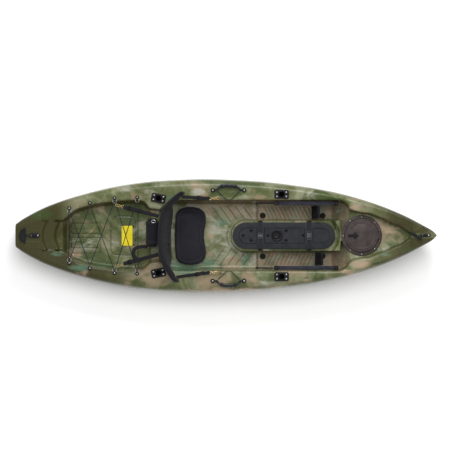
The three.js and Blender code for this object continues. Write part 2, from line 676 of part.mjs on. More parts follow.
// The backrest's front face at mid height, from the port wing to the starboard wing, each point as
// [x, y, lower edge, upper edge].
const BACK = [
  [-300, 288, 352, 455], [-340, 252, 340, 470], [-378, 214, 335, 488], [-402, 170, 200, 502],
  [-420, 95, 160, 518], [-428, 0, 158, 520], [-424, -95, 160, 518], [-412, -165, 200, 502],
  [-392, -222, 335, 488], [-368, -268, 340, 470], [-342, -312, 352, 455],
];

function backrest() {
  const rings = BACK.map(([x, y, low, high], i) => {
    const before = BACK[Math.max(i - 1, 0)];
    const after = BACK[Math.min(i + 1, BACK.length - 1)];
    const along = new THREE.Vector2(after[0] - before[0], after[1] - before[1]).normalize();
    const back = new THREE.Vector2(along.y, -along.x).multiplyScalar(BACK_THICK);
    const corners = [
      [0.15, low], [0, low + 10], [0, high - 10], [0.15, high],
      [0.85, high], [1, high - 10], [1, low + 10], [0.85, low],
    ];
    return corners.map(([depth, z]) => {
      return new THREE.Vector3(x + back.x * depth - (z - BACK_MIDDLE) * RECLINE, y + back.y * depth, z);
    });
  });
  return loft(rings);
}

// A snap hook between two points: a flat link with a long eye.
function snapHook(from, to) {
  const length = Math.hypot(...from.map((v, i) => to[i] - v));
  const link = stadium(-length / 2, length / 2, 9);
  link.holes = [stadium(-length / 2 + 5, length / 2 - 20, 4.5, new THREE.Path())];
  return bar(from, to, 0, 0, raised(link, -2.5, 2.5, 5));
}

const SEAT_EYE = { x: -42, y: 271, reach: 12 };
const REAR_HOOK_HEIGHT = 330;

function seat() {
  piece("seat_pad", seatPad(), FABRIC);
  piece("seat_back", backrest(), FABRIC);
  piece("seat_bag", block(-575, -488, -85, 125, 292, 405), FABRIC);
  bothSides((label, side) => {
    const { x, y, reach } = SEAT_EYE;
    const deck = deckUnder(x - reach, x + reach, side * (y - 9), side * (y + 11));
    const plate = raised(stadium(x - reach, x + reach, 7), 0, 5, 4);
    const bend = [[-10, 2], [-8, 11], [0, 15], [8, 11], [10, 2]];
    const bail = tube(bend.map(([along, up]) => [x + along, 0, up]), WIRE_R, 6);
    piece(`seat_eye_${label}`, joined(plate, bail).translate(0, side * y, deck), STEEL);
    const wing = side > 0 ? BACK[0] : BACK.at(-1);
    const wingEnd = [wing[0] + 10, wing[1] - side * 8, 400];
    piece(`front_strap_${label}`, bar(wingEnd, [-124, side * 268, deck + 22], 24, 3), WEBBING);
    const frontHook = snapHook([-60, side * 270, deck + 15], [-121, side * 268, deck + 21]);
    piece(`front_hook_${label}`, frontHook, BRASS);
    const strapEnd = [-733, side * 204, REAR_HOOK_HEIGHT + 7];
    piece(`rear_strap_${label}`, bar([-490, side * 142, 408], strapEnd, 28, 3), WEBBING);
    const hookAft = [-794, side * 222, REAR_HOOK_HEIGHT];
    const hookFore = [-737, side * 205.5, REAR_HOOK_HEIGHT + 6];
    piece(`rear_hook_${label}`, snapHook(hookAft, hookFore), BRASS);
  });
}
seat();

export default kayak;
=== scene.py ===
"""Looks of a sit-on-top fishing kayak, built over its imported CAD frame.

The shapes are written in millimetres in the row frame: +X is the bow, +Y is port and +Z is up.
"""

import math

import bpy
import numpy as np
from mathutils import Matrix, Vector


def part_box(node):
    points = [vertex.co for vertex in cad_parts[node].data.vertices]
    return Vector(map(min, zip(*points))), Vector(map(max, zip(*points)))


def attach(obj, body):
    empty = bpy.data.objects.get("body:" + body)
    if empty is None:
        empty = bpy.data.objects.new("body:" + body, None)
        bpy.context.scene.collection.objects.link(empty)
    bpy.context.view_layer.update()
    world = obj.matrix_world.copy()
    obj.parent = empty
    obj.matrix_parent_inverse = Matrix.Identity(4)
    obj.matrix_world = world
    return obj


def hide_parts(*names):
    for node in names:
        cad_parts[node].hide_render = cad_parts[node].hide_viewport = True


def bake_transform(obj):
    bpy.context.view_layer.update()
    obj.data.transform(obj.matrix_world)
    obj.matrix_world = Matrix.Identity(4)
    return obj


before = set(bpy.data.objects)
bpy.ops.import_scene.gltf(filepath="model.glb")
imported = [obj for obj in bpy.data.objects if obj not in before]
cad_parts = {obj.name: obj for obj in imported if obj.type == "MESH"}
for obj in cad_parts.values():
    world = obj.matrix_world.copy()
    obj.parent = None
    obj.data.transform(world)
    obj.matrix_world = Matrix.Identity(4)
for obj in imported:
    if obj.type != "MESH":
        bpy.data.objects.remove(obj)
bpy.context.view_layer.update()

MM = 0.001
STERN, BOW = -1525.0, 1525.0
HATCH_X = 986.0
CONSOLE_X, CONSOLE_R = 148.0, 108.0  # centre and radius of the console's aft end
SCUPPERS = [(270, 149), (707, 147)]
ROD_HOLDERS = [("rear", -488, 271, 11), ("front", 405, 298, 0)]
SIDES = [("port", 1), ("starboard", -1)]

# ---- Lines and outlines ----


def linear(pairs):
    xs, values = zip(*pairs)
    return lambda x: np.interp(x, xs, values)


def smooth(pairs):
    """A curve through (x, value) pairs that never overshoots them."""
    xs, values = (np.array(column, float) for column in zip(*pairs))
    slope = np.diff(values) / np.diff(xs)
    before, after = slope[:-1], slope[1:]
    same_way = before * after > 0
    middle = np.where(same_way, 2 * before * after / np.where(same_way, before + after, 1), 0)
    tangent = np.concatenate([slope[:1], middle, slope[-1:]])

    def line(x):
        x = np.asarray(x, float)
        i = np.clip(np.searchsorted(xs, x) - 1, 0, len(slope) - 1)
        width = xs[i + 1] - xs[i]
        t = np.clip((x - xs[i]) / width, 0, 1)
        ease = t * t * (3 - 2 * t)
        bend = width * t * (1 - t) * (tangent[i] * (1 - t) - tangent[i + 1] * t)
        return values[i] * (1 - ease) + values[i + 1] * ease + bend

    return line


def softened(line, reach):
    """The line averaged over reach each way, which rounds its corners."""
    shares = np.linspace(-1, 1, 9)
    weights = 1.15 - np.abs(shares)
    weights /= weights.sum()
    return lambda x: sum(w * line(x + reach * s) for w, s in zip(weights, shares))


def step(edge0, edge1, value):
    t = np.clip((value - edge0) / (edge1 - edge0), 0, 1)
    return t * t * (3 - 2 * t)


def stadium(x0, x1, half, count=24):
    """An outline with half-round ends, anticlockwise."""
    turn = np.linspace(-math.pi / 2, math.pi / 2, count)
    fore = [(x1 - half + half * math.cos(a), half * math.sin(a)) for a in turn]
    aft = [(x0 + half - half * math.cos(a), -half * math.sin(a)) for a in turn]
    return fore + aft


def rounded(length, width, corner, count=7):
    """A rectangle about the origin with rounded corners, anticlockwise."""
    points = []
    for quarter, (sx, sy) in enumerate([(1, -1), (1, 1), (-1, 1), (-1, -1)]):
        for a in np.linspace(-math.pi / 2, 0, count) + quarter * math.pi / 2:
            x = sx * (length / 2 - corner) + corner * math.cos(a)
            points.append((x, sy * (width / 2 - corner) + corner * math.sin(a)))
    return points


def circle(x, y, radius, count=40):
    turn = np.arange(count) * 2 * math.pi / count
    return [(x + radius * math.cos(a), y + radius * math.sin(a)) for a in turn]


def curve_points(points, per_run=8, closed=False):
    """A smooth curve through points, as a list of vectors."""
    p = [Vector(q) for q in points]
    count = len(p)
    out = []
    for i in range(count if closed else count - 1):
        if closed:
            a, b, c, d = (p[(i + k) % count] for k in (-1, 0, 1, 2))
        else:
            a, b, c, d = p[max(i - 1, 0)], p[i], p[i + 1], p[min(i + 2, count - 1)]
        for k in range(per_run):
            t = k / per_run
            out.append(
                0.5 * (2 * b + (c - a) * t + (2 * a - 5 * b + 4 * c - d) * t * t
                       + (3 * b - a - 3 * c + d) * t ** 3)
            )
    if not closed:
        out.append(p[-1])
    return out


# ---- Materials ----


def srgb(r, g, b):
    """A colour from 8-bit screen values, as the shader's linear values."""
    return [((c / 255 + 0.055) / 1.055) ** 2.4 if c > 10 else c / 255 / 12.92 for c in (r, g, b)] + [1.0]


class Paint:
    """A procedural material built node by node."""

    def __init__(self, name, metallic=0.0, coat=0.0, sheen=0.0, gloss=0.3):
        self.material = bpy.data.materials.new(name)
        self.material.use_nodes = True
        self.tree = self.material.node_tree
        self.shader = self.tree.nodes["Principled BSDF"]
        self.shader.inputs["Metallic"].default_value = metallic
        self.shader.inputs["Coat Weight"].default_value = coat
        self.shader.inputs["Sheen Weight"].default_value = sheen
        self.shader.inputs["Specular IOR Level"].default_value = gloss
        self.place = self.tree.nodes.new("ShaderNodeTexCoord").outputs["Object"]

    def node(self, kind, inputs=(), out=0, **settings):
        made = self.tree.nodes.new("ShaderNode" + kind)
        for key, value in settings.items():
            setattr(made, key, value)
        for key, value in dict(inputs).items():
            if isinstance(value, bpy.types.NodeSocket):
                self.tree.links.new(value, made.inputs[key])
            else:
                made.inputs[key].default_value = value
        return made.outputs[out]

    def noise(self, scale, detail=3.0, rough=0.55, distort=0.0, place=None, stretch=None):
        place = self.place if place is None else place
        if stretch:
            place = self.node("Mapping", {"Vector": place, "Scale": stretch})
        inputs = {
            "Vector": place, "Scale": scale, "Detail": detail, "Roughness": rough, "Distortion": distort
        }
        return self.node("TexNoise", inputs)

    def math(self, operation, a, b=0.0):
        return self.node("Math", {0: a, 1: b}, operation=operation)

    def band(self, value, low, high, to_low=0.0, to_high=1.0):
        inputs = {"Value": value, "From Min": low, "From Max": high, "To Min": to_low, "To Max": to_high}
        return self.node("MapRange", inputs, interpolation_type="SMOOTHSTEP")

    def mix(self, share, a, b):
        return self.node("Mix", {0: share, 6: a, 7: b}, out=2, data_type="RGBA")

    def attribute(self, name):
        return self.node("Attribute", out=2, attribute_name=name)

    def bump(self, height, distance, strength=1.0, normal=None):
        inputs = {"Height": height, "Distance": distance, "Strength": strength}
        if normal is not None:
            inputs["Normal"] = normal
        return self.node("Bump", inputs)

    def finish(self, color, rough, normal=None):
        for key, value in (("Base Color", color), ("Roughness", rough), ("Normal", normal)):
            if isinstance(value, bpy.types.NodeSocket):
                self.tree.links.new(value, self.shader.inputs[key])
            elif value is not None:
                self.shader.inputs[key].default_value = value
        return self.material


def camo_plastic():
    p = Paint("camo_polyethylene", gloss=0.38)
    swirl = p.noise(2.6, 4, 0.6, 0.7)
    blotch = p.noise(6.5, 4, 0.6, 0.7)
    wisp = p.noise(13, 6, 0.66, 0.6, stretch=(0.65, 1.15, 1.0))
    cloud = p.noise(4.4, 3, 0.55, 0.9, stretch=(0.7, 1.3, 1.0))
    grain = p.noise(55, 4, 0.7)

    def layer(color, name, noise, spread, low, high, most, tint):
        share = p.math("ADD", p.attribute(name), p.math("MULTIPLY", p.math("SUBTRACT", noise, 0.5), spread))
        return p.mix(p.band(share, low, high, 0, most), color, tint)

    color = p.mix(p.band(blotch, 0.38, 0.62), srgb(82, 89, 50), srgb(130, 132, 104))
    color = p.mix(p.band(cloud, 0.5, 0.62, 0, 0.85), color, srgb(136, 120, 96))
    color = p.mix(p.band(swirl, 0.5, 0.62, 0, 0.88), color, srgb(58, 72, 30))
    # This layer is partly the swirl's own dark green at the bow and stern and partly painted shade along the
    # outer edge of the rim.
    color = layer(color, "olive_and_edge_shade", blotch, 1.1, 0.2, 0.85, 1.0, srgb(52, 50, 17))
    # Painted shade: the brown layer darkens the well walls, most on the port side, where they face away from
    # the light.
    color = layer(color, "brown", wisp, 0.6, 0.2, 0.66, 0.92, srgb(70, 55, 30))
    color = layer(color, "dark", swirl, 1.6, 0.36, 0.66, 0.85, srgb(50, 66, 26))
    color = layer(color, "teal", wisp, 2.0, 0.3, 0.85, 0.8, srgb(76, 108, 84))
    color = layer(color, "tan", wisp, 2.2, 0.3, 0.9, 0.85, srgb(160, 138, 116))
    color = layer(color, "pale", wisp, -2.0, 0.3, 0.95, 0.85, srgb(162, 162, 148))
    color = p.mix(p.band(grain, 0.25, 0.75, 0, 0.14), color, srgb(52, 48, 30))
    # Painted shade: the colour is darkened along the moulded groove lines of the deck floors.
    color = p.mix(p.math("MULTIPLY", p.attribute("groove"), 0.52), color, srgb(44, 46, 30))
    scuff = p.noise(240, 2, 0.6, stretch=(0.15, 1.0, 1.0))
    rough = p.math("ADD", p.band(grain, 0.3, 0.7, 0.2, 0.32), p.band(scuff, 0.62, 0.8, 0, 0.14))
    normal = p.bump(grain, 0.0012, 0.35, p.bump(p.noise(260, 3, 0.6), 0.0003, 0.5))
    return p.finish(color, rough, normal)


def moulded(name, low, high, rough=0.42, grain_scale=900, relief=0.0003, coat=0.0):
    """Moulded plastic or rubber with a fine texture, uneven shine and paler scuffs."""
    p = Paint(name, coat=coat)
    cloud = p.noise(22, 4, 0.6)
    grain = p.noise(grain_scale, 2, 0.5)
    scuff = p.noise(90, 6, 0.75, 1.5, stretch=(0.35, 1.0, 1.0))
    color = p.mix(p.band(cloud, 0.3, 0.7), low, high)
    color = p.mix(p.band(scuff, 0.64, 0.8, 0, 0.3), color, [min(c * 2.6, 1) for c in high[:3]] + [1])
    shine = p.math(
        "ADD", p.band(cloud, 0.3, 0.7, rough - 0.06, rough + 0.08), p.band(scuff, 0.62, 0.8, 0, 0.15)
    )
    return p.finish(color, shine, p.bump(grain, relief, 0.6))


def metal(name, color, rough, brushed=(1.0, 1.0, 1.0)):
    p = Paint(name, metallic=1.0, gloss=0.5)
    cloud = p.noise(40, 3, 0.6)
    line = p.noise(700, 2, 0.5, stretch=brushed)
    tint = p.mix(p.band(cloud, 0.3, 0.75, 0, 0.5), color, [c * 0.62 for c in color[:3]] + [1])
    shine = p.math("ADD", p.band(cloud, 0.3, 0.7, rough - 0.05, rough + 0.08), p.band(line, 0.4, 0.8, 0, 0.1))
    return p.finish(tint, shine, p.bump(line, 0.00008, 0.5))


def woven(name, low, high, pitch, rough=0.85, sheen=0.35, relief=0.0004, plane=(0, 1)):
    """A plain weave whose threads run along the two axes of plane, pitch metres apart."""
    p = Paint(name, sheen=sheen)
    split = p.node("SeparateXYZ", {0: p.place})
    parts = [split.node.outputs[i] for i in plane]
    wave = [p.math("SINE", p.math("MULTIPLY", part, 2 * math.pi / pitch)) for part in parts]
    weave = p.math("MULTIPLY", wave[0], wave[1])
    cloud = p.noise(9, 4, 0.6)
    fibre = p.noise(1400, 3, 0.7)
    color = p.mix(p.band(weave, -0.8, 0.8), low, high)
    color = p.mix(p.band(cloud, 0.3, 0.7, 0, 0.35), color, [min(c * 1.8, 1) for c in high[:3]] + [1])
    shine = p.band(cloud, 0.3, 0.7, rough - 0.08, min(rough + 0.06, 1))
    normal = p.bump(weave, relief, 0.7, p.bump(fibre, relief * 0.5, 0.5))
    return p.finish(color, shine, normal)


def braided(name, low, high, pitch):
    """Braided cord: fine diagonal threads."""
    p = Paint(name)
    split = p.node("SeparateXYZ", {0: p.place})
    x, y = split.node.outputs[0], split.node.outputs[1]
    turns = 2 * math.pi / pitch
    lines = [p.math("SINE", p.math("MULTIPLY", p.math(op, x, y), turns)) for op in ("ADD", "SUBTRACT")]
    braid = p.math("MAXIMUM", lines[0], lines[1])
    fleck = p.noise(500, 2, 0.5)
    color = p.mix(p.band(braid, -0.2, 0.9), low, high)
    color = p.mix(p.band(fleck, 0.6, 0.75, 0, 0.4), color, srgb(84, 84, 90))
    return p.finish(color, p.band(fleck, 0.3, 0.7, 0.6, 0.8), p.bump(braid, 0.0004, 0.8))


def label_film():
    """A blank printed film: yellow, a little worn at random."""
    p = Paint("label_film", coat=0.2)
    cloud = p.noise(14, 4, 0.6)
    speck = p.noise(160, 5, 0.7)
    color = p.mix(p.band(cloud, 0.3, 0.7), srgb(212, 192, 20), srgb(226, 210, 44))
    color = p.mix(p.band(speck, 0.62, 0.78, 0, 0.6), color, srgb(150, 136, 40))
    return p.finish(color, p.band(cloud, 0.3, 0.7, 0.36, 0.5), p.bump(speck, 0.0003, 0.4))


CAMO = camo_plastic()
BLACK = moulded("black_nylon", srgb(9, 9, 12), srgb(19, 19, 23), 0.4)
GLOSS_BLACK = moulded("glossy_black_rubber", srgb(8, 10, 12), srgb(20, 24, 28), 0.2, 500, 0.0002, 0.3)
SLATE = moulded("slate_grey_plastic", srgb(27, 29, 33), srgb(38, 39, 44), 0.5, 700, 0.0005)
TAUPE = moulded("brown_grey_plastic", srgb(50, 44, 42), srgb(66, 58, 56), 0.46, 600, 0.0005)
PLUG = moulded("plug_rubber", srgb(26, 27, 22), srgb(42, 42, 34), 0.6, 500, 0.0003)
RUBBER = moulded("seal_rubber", srgb(8, 8, 10), srgb(16, 16, 18), 0.75, 700, 0.0003)
RAIL = moulded("rail_coating", srgb(26, 26, 34), srgb(42, 42, 54), 0.3, 1200, 0.0001)
SEAT = woven("seat_fabric", srgb(15, 15, 19), srgb(33, 33, 40), 0.0036, sheen=0.04)
BACK = woven("backrest_fabric", srgb(7, 7, 10), srgb(19, 20, 26), 0.0036, sheen=0.04, plane=(1, 2))
BORDER = woven("border_fabric", srgb(8, 8, 11), srgb(20, 20, 26), 0.0024, sheen=0.04)
WEBBING = woven("webbing", srgb(7, 7, 9), srgb(21, 21, 25), 0.0022, 0.7, 0.04)
LID_STRAP = woven("lid_webbing", srgb(17, 17, 21), srgb(33, 33, 38), 0.0022, 0.7, 0.04)
THREAD = woven("thread", srgb(26, 26, 32), srgb(50, 50, 60), 0.0016, sheen=0.04)
CORD = braided("shock_cord", srgb(16, 17, 18), srgb(40, 42, 42), 0.003)
STEEL = metal("bright_steel", srgb(226, 226, 226), 0.2)
BRASS = metal("pale_brass", srgb(214, 186, 132), 0.24)
BUCKLE = moulded("buckle_grey", srgb(54, 55, 60), srgb(76, 77, 84), 0.4)
YELLOW = label_film()

# ---- Building and placing pieces ----


def new_object(name, verts, faces):
    mesh = bpy.data.meshes.new(name)
    mesh.from_pydata([tuple(c * MM for c in v) for v in verts], [], faces)
    mesh.validate()
    obj = bpy.data.objects.new(name, mesh)
    bpy.context.scene.collection.objects.link(obj)
    return obj


def applied(obj):
    """The object with its modifiers made part of its mesh."""
    graph = bpy.context.evaluated_depsgraph_get()
    mesh = bpy.data.meshes.new_from_object(obj.evaluated_get(graph))
    obj.modifiers.clear()
    old, obj.data = obj.data, mesh
    bpy.data.meshes.remove(old)
    return obj


def bevelled(obj, width, segments=2, angle=35):
    bevel = obj.modifiers.new("bevel", "BEVEL")
    bevel.width = width * MM
    bevel.segments = segments
    bevel.angle_limit = math.radians(angle)
    return applied(obj)


def cut(obj, *cutters, operation="DIFFERENCE"):
    for cutter in cutters:
        boolean = obj.modifiers.new("cut", "BOOLEAN")
        boolean.operation = operation
        boolean.solver = "MANIFOLD"
        boolean.object = cutter
        applied(obj)
        bpy.data.objects.remove(cutter)
    return obj


def joined(name, *parts):
    """One object made of all the parts' faces."""
    verts, faces = [], []
    for part in parts:
        start = len(verts)
        verts += [tuple(part.matrix_world @ v.co / MM) for v in part.data.vertices]
        faces += [tuple(start + i for i in f.vertices) for f in part.data.polygons]
        bpy.data.objects.remove(part)
    return new_object(name, verts, faces)


def placed(obj, body, material, replaces=(), sharp=40):
    """Finishes a piece: its material, smooth shading, the body that it rides on and what it stands for."""
    obj.data.materials.clear()
    obj.data.materials.append(material)
    obj.data.polygons.foreach_set("use_smooth", [True] * len(obj.data.polygons))
    obj.data.set_sharp_from_angle(angle=math.radians(sharp))
    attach(obj, body)
    if replaces:
        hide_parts(*([replaces] if isinstance(replaces, str) else replaces))
    return obj


def prism(name, outline, z0, z1):
    count = len(outline)
    verts = [(x, y, z0) for x, y in outline] + [(x, y, z1) for x, y in outline]
    ring = range(count)
    faces = [tuple(reversed(ring)), tuple(i + count for i in ring)]
    faces += [(i, (i + 1) % count, (i + 1) % count + count, i + count) for i in ring]
    return new_object(name, verts, faces)


def plate(name, outline, z0, z1, bevel=1.0, holes=()):
    """A flat piece with bevelled edges and, if given, holes through it."""
    obj = prism(name, outline, z0, z1)
    cut(obj, *[prism("hole", hole, z0 - 5, z1 + 5) for hole in holes])
    return bevelled(obj, bevel)


def lathe(name, profile, x=0.0, y=0.0, z=0.0, sides=48):
    """A body turned about the upright axis through x, y. Its profile is (radius, height) pairs."""
    verts, faces = [], []
    last = len(profile) - 1
    for i, (radius, height) in enumerate(profile):
        if i in (0, last) and radius == 0:
            verts.append((x, y, z + height))
            continue
        verts += [(px, py, z + height) for px, py in circle(x, y, radius, sides)]
    starts, at = [], 0
    for i, (radius, _) in enumerate(profile):
        starts.append(at)
        at += 1 if i in (0, last) and radius == 0 else sides
    for i in range(last):
        a, b = starts[i], starts[i + 1]
        one_a, one_b = b - a == 1, (len(verts) - b == 1 if i == last - 1 else False)
        for k in range(sides):
            n = (k + 1) % sides
            if one_a:
                faces.append((a, b + n, b + k))
            elif one_b:
                faces.append((a + k, a + n, b))
            else:
                faces.append((a + k, a + n, b + n, b + k))
    return new_object(name, verts, faces)


def sweep(name, points, ring_at, closed=False, across=None):
    """A tube along points. ring_at(i) gives the (across, up) offsets of the section at point i."""
    points = [Vector(p) for p in points]
    count = len(points)
    verts, rings = [], []
    side = None
    for i, p in enumerate(points):
        before = points[(i - 1) % count] if closed or i else points[i]
        after = points[(i + 1) % count] if closed or i < count - 1 else points[i]
        along = (after - before).normalized()
        if across:
            way = Vector(across)
            flat = (way - along * way.dot(along)).normalized()
        elif side is not None and abs(along.z) > 0.9:
            flat = (side - along * side.dot(along)).normalized()
        else:
            flat = Vector((0, 0, 1)).cross(along).normalized()
        side = flat
        high = along.cross(flat)
        ring = ring_at(i)
        rings.append(len(verts))
        verts += [tuple(p + flat * a + high * h) for a, h in ring]
    size = len(ring)
    faces = []
    for i in range(count if closed else count - 1):
        a, b = rings[i], rings[(i + 1) % count]
        faces += [(a + k, b + k, b + (k + 1) % size, a + (k + 1) % size) for k in range(size)]
    if not closed:
        faces += [tuple(range(size)), tuple(reversed(range(rings[-1], rings[-1] + size)))]
    return new_object(name, verts, faces)


def cord(name, points, radius, sides=12, per_run=6, closed=False):
    """A round cord along a smooth curve through points. The radius may be a function of the share along."""
    route = curve_points(points, per_run, closed) if per_run > 1 else [Vector(p) for p in points]
    last = max(len(route) - 1, 1)
    size = radius if callable(radius) else (lambda share: radius)
    return sweep(name, route, lambda i: circle(0, 0, size(i / last), sides), closed)


def webbing(name, points, width, thick=2.4, per_run=8, across=None):
    """A flat strap with rounded edges and a slightly raised middle along a smooth curve through points."""
    route = curve_points(points, per_run)
    half, deep = width / 2, thick / 2
    top = [(half, 0), (half - 1, deep * 0.8), (half * 0.5, deep), (0, deep * 1.1)]
    ring = top + [(-a, h) for a, h in reversed(top[1:-1])] + [(-half, 0)]
    ring += [(a, -h) for a, h in reversed(ring[1:-1])]
    return sweep(name, route, lambda i: ring, across=across)


def screw(name, x, y, z, radius, body, tilt=0.0, material=None):
    """A domed screw head with a cross recess, z at its seat."""
    dome = [(0, 0), (radius, 0), (radius, radius * 0.18), (radius * 0.86, radius * 0.42),
            (radius * 0.5, radius * 0.6), (0, radius * 0.66)]
    head = lathe(name, dome, 0, 0, 0, 20)
    arm, wide = radius * 0.58, radius * 0.13
    for turn in (0, math.pi / 2):
        c, s = math.cos(turn), math.sin(turn)
        corners = [(arm, -wide), (arm, wide), (-arm, wide), (-arm, -wide)]
        slot = [(a * c - b * s, a * s + b * c) for a, b in corners]
        cut(head, prism("slot", slot, radius * 0.3, radius * 2))
    head.data.transform(Matrix.Translation((x * MM, y * MM, z * MM)) @ Matrix.Rotation(tilt, 4, "X"))
    return placed(head, body, material or STEEL)


def node_copy(name, node, bevel=0.8, angle=35):
    """A CAD node's shape with softened edges."""
    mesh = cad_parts[node].data.copy()
    mesh.materials.clear()
    obj = bpy.data.objects.new(name, mesh)
    bpy.context.scene.collection.objects.link(obj)
    weld = obj.modifiers.new("weld", "WELD")
    weld.merge_threshold = 0.00002
    flat = obj.modifiers.new("flat", "DECIMATE")
    flat.decimate_type = "DISSOLVE"
    flat.angle_limit = math.radians(2)
    applied(obj)
    return bevelled(obj, bevel, angle=angle) if bevel else obj


def top_of(node):
    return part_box(node)[1].z / MM


def base_of(node):
    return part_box(node)[0].z / MM


# ---- Hull ----

half_beam = smooth([
    (STERN, 84), (-1465, 127), (-1291, 218), (-1058, 298), (-768, 367), (-477, 403), (-160, 415),
    (220, 400), (568, 360), (801, 317), (1033, 252), (1265, 161), (1440, 69), (1498, 33), (BOW, 5),
])
keel_line = smooth([
    (STERN, 135), (-1400, 66), (-1200, 22), (-950, 4), (-700, 0), (750, 0), (1000, 10), (1250, 48),
    (1400, 112), (1480, 190), (BOW, 275),
])
gunwale = smooth([
    (STERN, 316), (-1250, 300), (-700, 300), (-200, 312), (300, 326), (800, 346), (1200, 374), (BOW, 396),
])
floor_line = linear([
    (STERN, 322), (-1335, 305), (-1320, 288), (-1245, 284), (-1230, 262), (-1180, 258), (-1160, 190),
    (-556, 190), (-545, 250), (-478, 250), (-466, 134), (-140, 130), (225, 124), (233, 93), (775, 93),
    (900, 285), (1140, 285), (1330, 318), (1345, 386), (BOW, 402),
])
well_half = linear([
    (STERN, 60), (-1335, 108), (-1180, 112), (-1088, 190), (-1010, 214), (-930, 232), (-773, 253),
    (-640, 258), (-600, 250), (-575, 230), (-556, 200), (-545, 198), (-478, 190), (-466, 195),
    (-430, 235), (-390, 252), (-340, 257), (832, 257), (860, 246), (885, 216), (900, 190), (975, 168),
    (1040, 162), (1125, 129), (1185, 102), (1265, 67), (1330, 22), (1345, 20), (BOW, 20),
])
wall_slope = linear([
    (STERN, 8), (-1200, 12), (-1100, 24), (-575, 24), (-545, 14), (-466, 14), (-430, 24), (225, 24),
    (233, 18), (840, 18), (900, 14), (1265, 12), (BOW, 6),
])
soft_floor = softened(floor_line, 9)
soft_well = softened(well_half, 16)
soft_slope = softened(wall_slope, 10)
NARROWEST_CREST = 35.0


def console_half(x):
    run = np.clip(CONSOLE_X - np.maximum(x, 46), 0, None)
    inside = (x > 38) & (x < 832)
    round_end = np.sqrt(np.maximum(CONSOLE_R ** 2 - run ** 2, 0))
    return np.where(inside, np.maximum(round_end, NARROWEST_CREST), NARROWEST_CREST)


def stern_shift(x, y):
    """How far the stern's two steps swing forward away from the centreline."""
    return 37 * (y / 110) ** 2 * step(-1190, -1215, x)


def console_top(x, y):
    """Height of the deck between the console's two sides."""
    fore = x + 42 * (np.minimum(np.abs(y), CONSOLE_R) / CONSOLE_R) ** 2
    top = np.interp(fore, [806, 832], [215, 285])
    on = step(39, 47, x)
    plain = soft_floor(x - stern_shift(x, y))
    return np.where(x > 900, plain, np.where(x > 860, 285, plain * (1 - on) + top * on))


def segment_share(x, y, x0, y0, x1, y1, half):
    """1 on the line between two points, falling to 0 at half its width away."""
    dx, dy = x1 - x0, y1 - y0
    t = np.clip(((x - x0) * dx + (y - y0) * dy) / (dx * dx + dy * dy), 0, 1)
    away = np.hypot(x - x0 - t * dx, y - y0 - t * dy)
    return step(half, half * 0.25, away)


def raised_pad(x, y, x0, x1, y0, y1, edge=5):
    inside = step(x0, x0 + edge, x) * step(x1, x1 - edge, x)
    return inside * step(y0, y0 + edge, y) * step(y1, y1 - edge, y)


def groove_lines(x, y):
    """1 along the moulded lines of the deck floors, 0 away from them."""
    wide = np.abs(y)
    best = np.zeros_like(x)
    panels = [(-1126, -918, 14, 92), (-1126, -911, -124, -12)]
    for x0, x1, y0, y1 in panels:
        for a, b, c, d in ((x0, y0, x1, y0), (x0, y1, x1, y1), (x0, y0, x0, y1), (x1, y0, x1, y1)):
            best = np.maximum(best, segment_share(x, y, a, b, c, d, 6))
    corner = np.hypot(np.clip(wide - 90, 0, None), np.clip(np.abs(x + 745) - 40, 0, None))
    best = np.maximum(best, step(7, 2, np.abs(corner - 52)) * (x < -600) * (x > -880))
    for i in range(-1, 4):
        x0 = -42 + 57 * i
        best = np.maximum(best, segment_share(x, wide, x0, 213, x0 + 82, 100, 5.2))
    best = np.maximum(best, step(7, 2, np.abs(np.hypot(x - CONSOLE_X, y) - 138)) * (x < 40) * (wide < 70))
    for i in range(12):
        x0 = 282 + 29 * i
        best = np.maximum(best, 0.8 * segment_share(x, wide, x0, 212, x0 + 38, 128, 6))
    return best


def relief(x, y):
    """Moulded detail of the deck floors: how far they stand above the plain floor."""
    wide = np.abs(y)
    up = 3 * raised_pad(x, y, -1122, -922, 18, 88) + 3 * raised_pad(x, y, -1122, -915, -120, -16)
    for i in range(11):
        x0 = 296 + 29 * i
        up += 2.2 * segment_share(x, wide, x0, 212, x0 + 38, 128, 9)
    return up - 3.4 * groove_lines(x, y)


def corner_points(x, skin=0.0):
    """Half of each section as (y, z) corners, from the deck's centreline round to the keel."""
    beam = half_beam(x) - skin
    keel = keel_line(x) + skin
    rim = gunwale(x) - skin
    widest = keel + (rim - keel) * 0.62
    bilge = widest - keel
    if skin:
        reaches = [x + skin * s for s in (-1.4, -0.7, 0, 0.7, 1.4)]
        well = np.max([well_half(r) for r in reaches], 0)
        foot_line = np.max([well_half(r) - wall_slope(r) for r in reaches], 0)
        floor = np.min([floor_line(r - stern_shift(r, 60)) for r in reaches], 0) - skin
        crest_line = np.min([console_half(r) for r in reaches], 0)
        centre = np.min([console_top(r, 0.0) for r in reaches], 0) - skin
    else:
        well, foot_line = soft_well(x), soft_well(x) - soft_slope(x)
        floor, crest_line = soft_floor(x), console_half(x)
        centre = console_top(x, crest_line)
    top = np.minimum(well + skin, beam - 8) if skin else np.minimum(well, beam * 0.83)
    shoulder = np.maximum(beam * 0.87, top + (beam - top) * 0.3)
    foot = np.minimum(foot_line + skin, top - beam * 0.04)
    crest = np.minimum(crest_line - skin, foot * 0.6)
    zero = np.zeros_like(x)
    half = [
        (zero, centre), (crest, centre), (crest + np.minimum(12, (foot - crest) / 2), floor),
        (foot, floor), (top, np.maximum(rim - 8, floor + 1)), (shoulder, rim),
        (np.maximum(beam * 0.97, shoulder + 1), rim - bilge * 0.12), (beam, widest),
        (beam * 0.975, keel + bilge * 0.52),
        (beam * 0.87, keel + bilge * 0.22), (beam * 0.53, keel), (beam * 0.47, keel),
        (beam * 0.3, keel + np.minimum(18, bilge * 0.1)), (beam * 0.15, keel), (zero, keel),
    ]
    return np.array([np.stack(np.broadcast_arrays(y, z), -1) for y, z in half]).transpose(1, 0, 2)


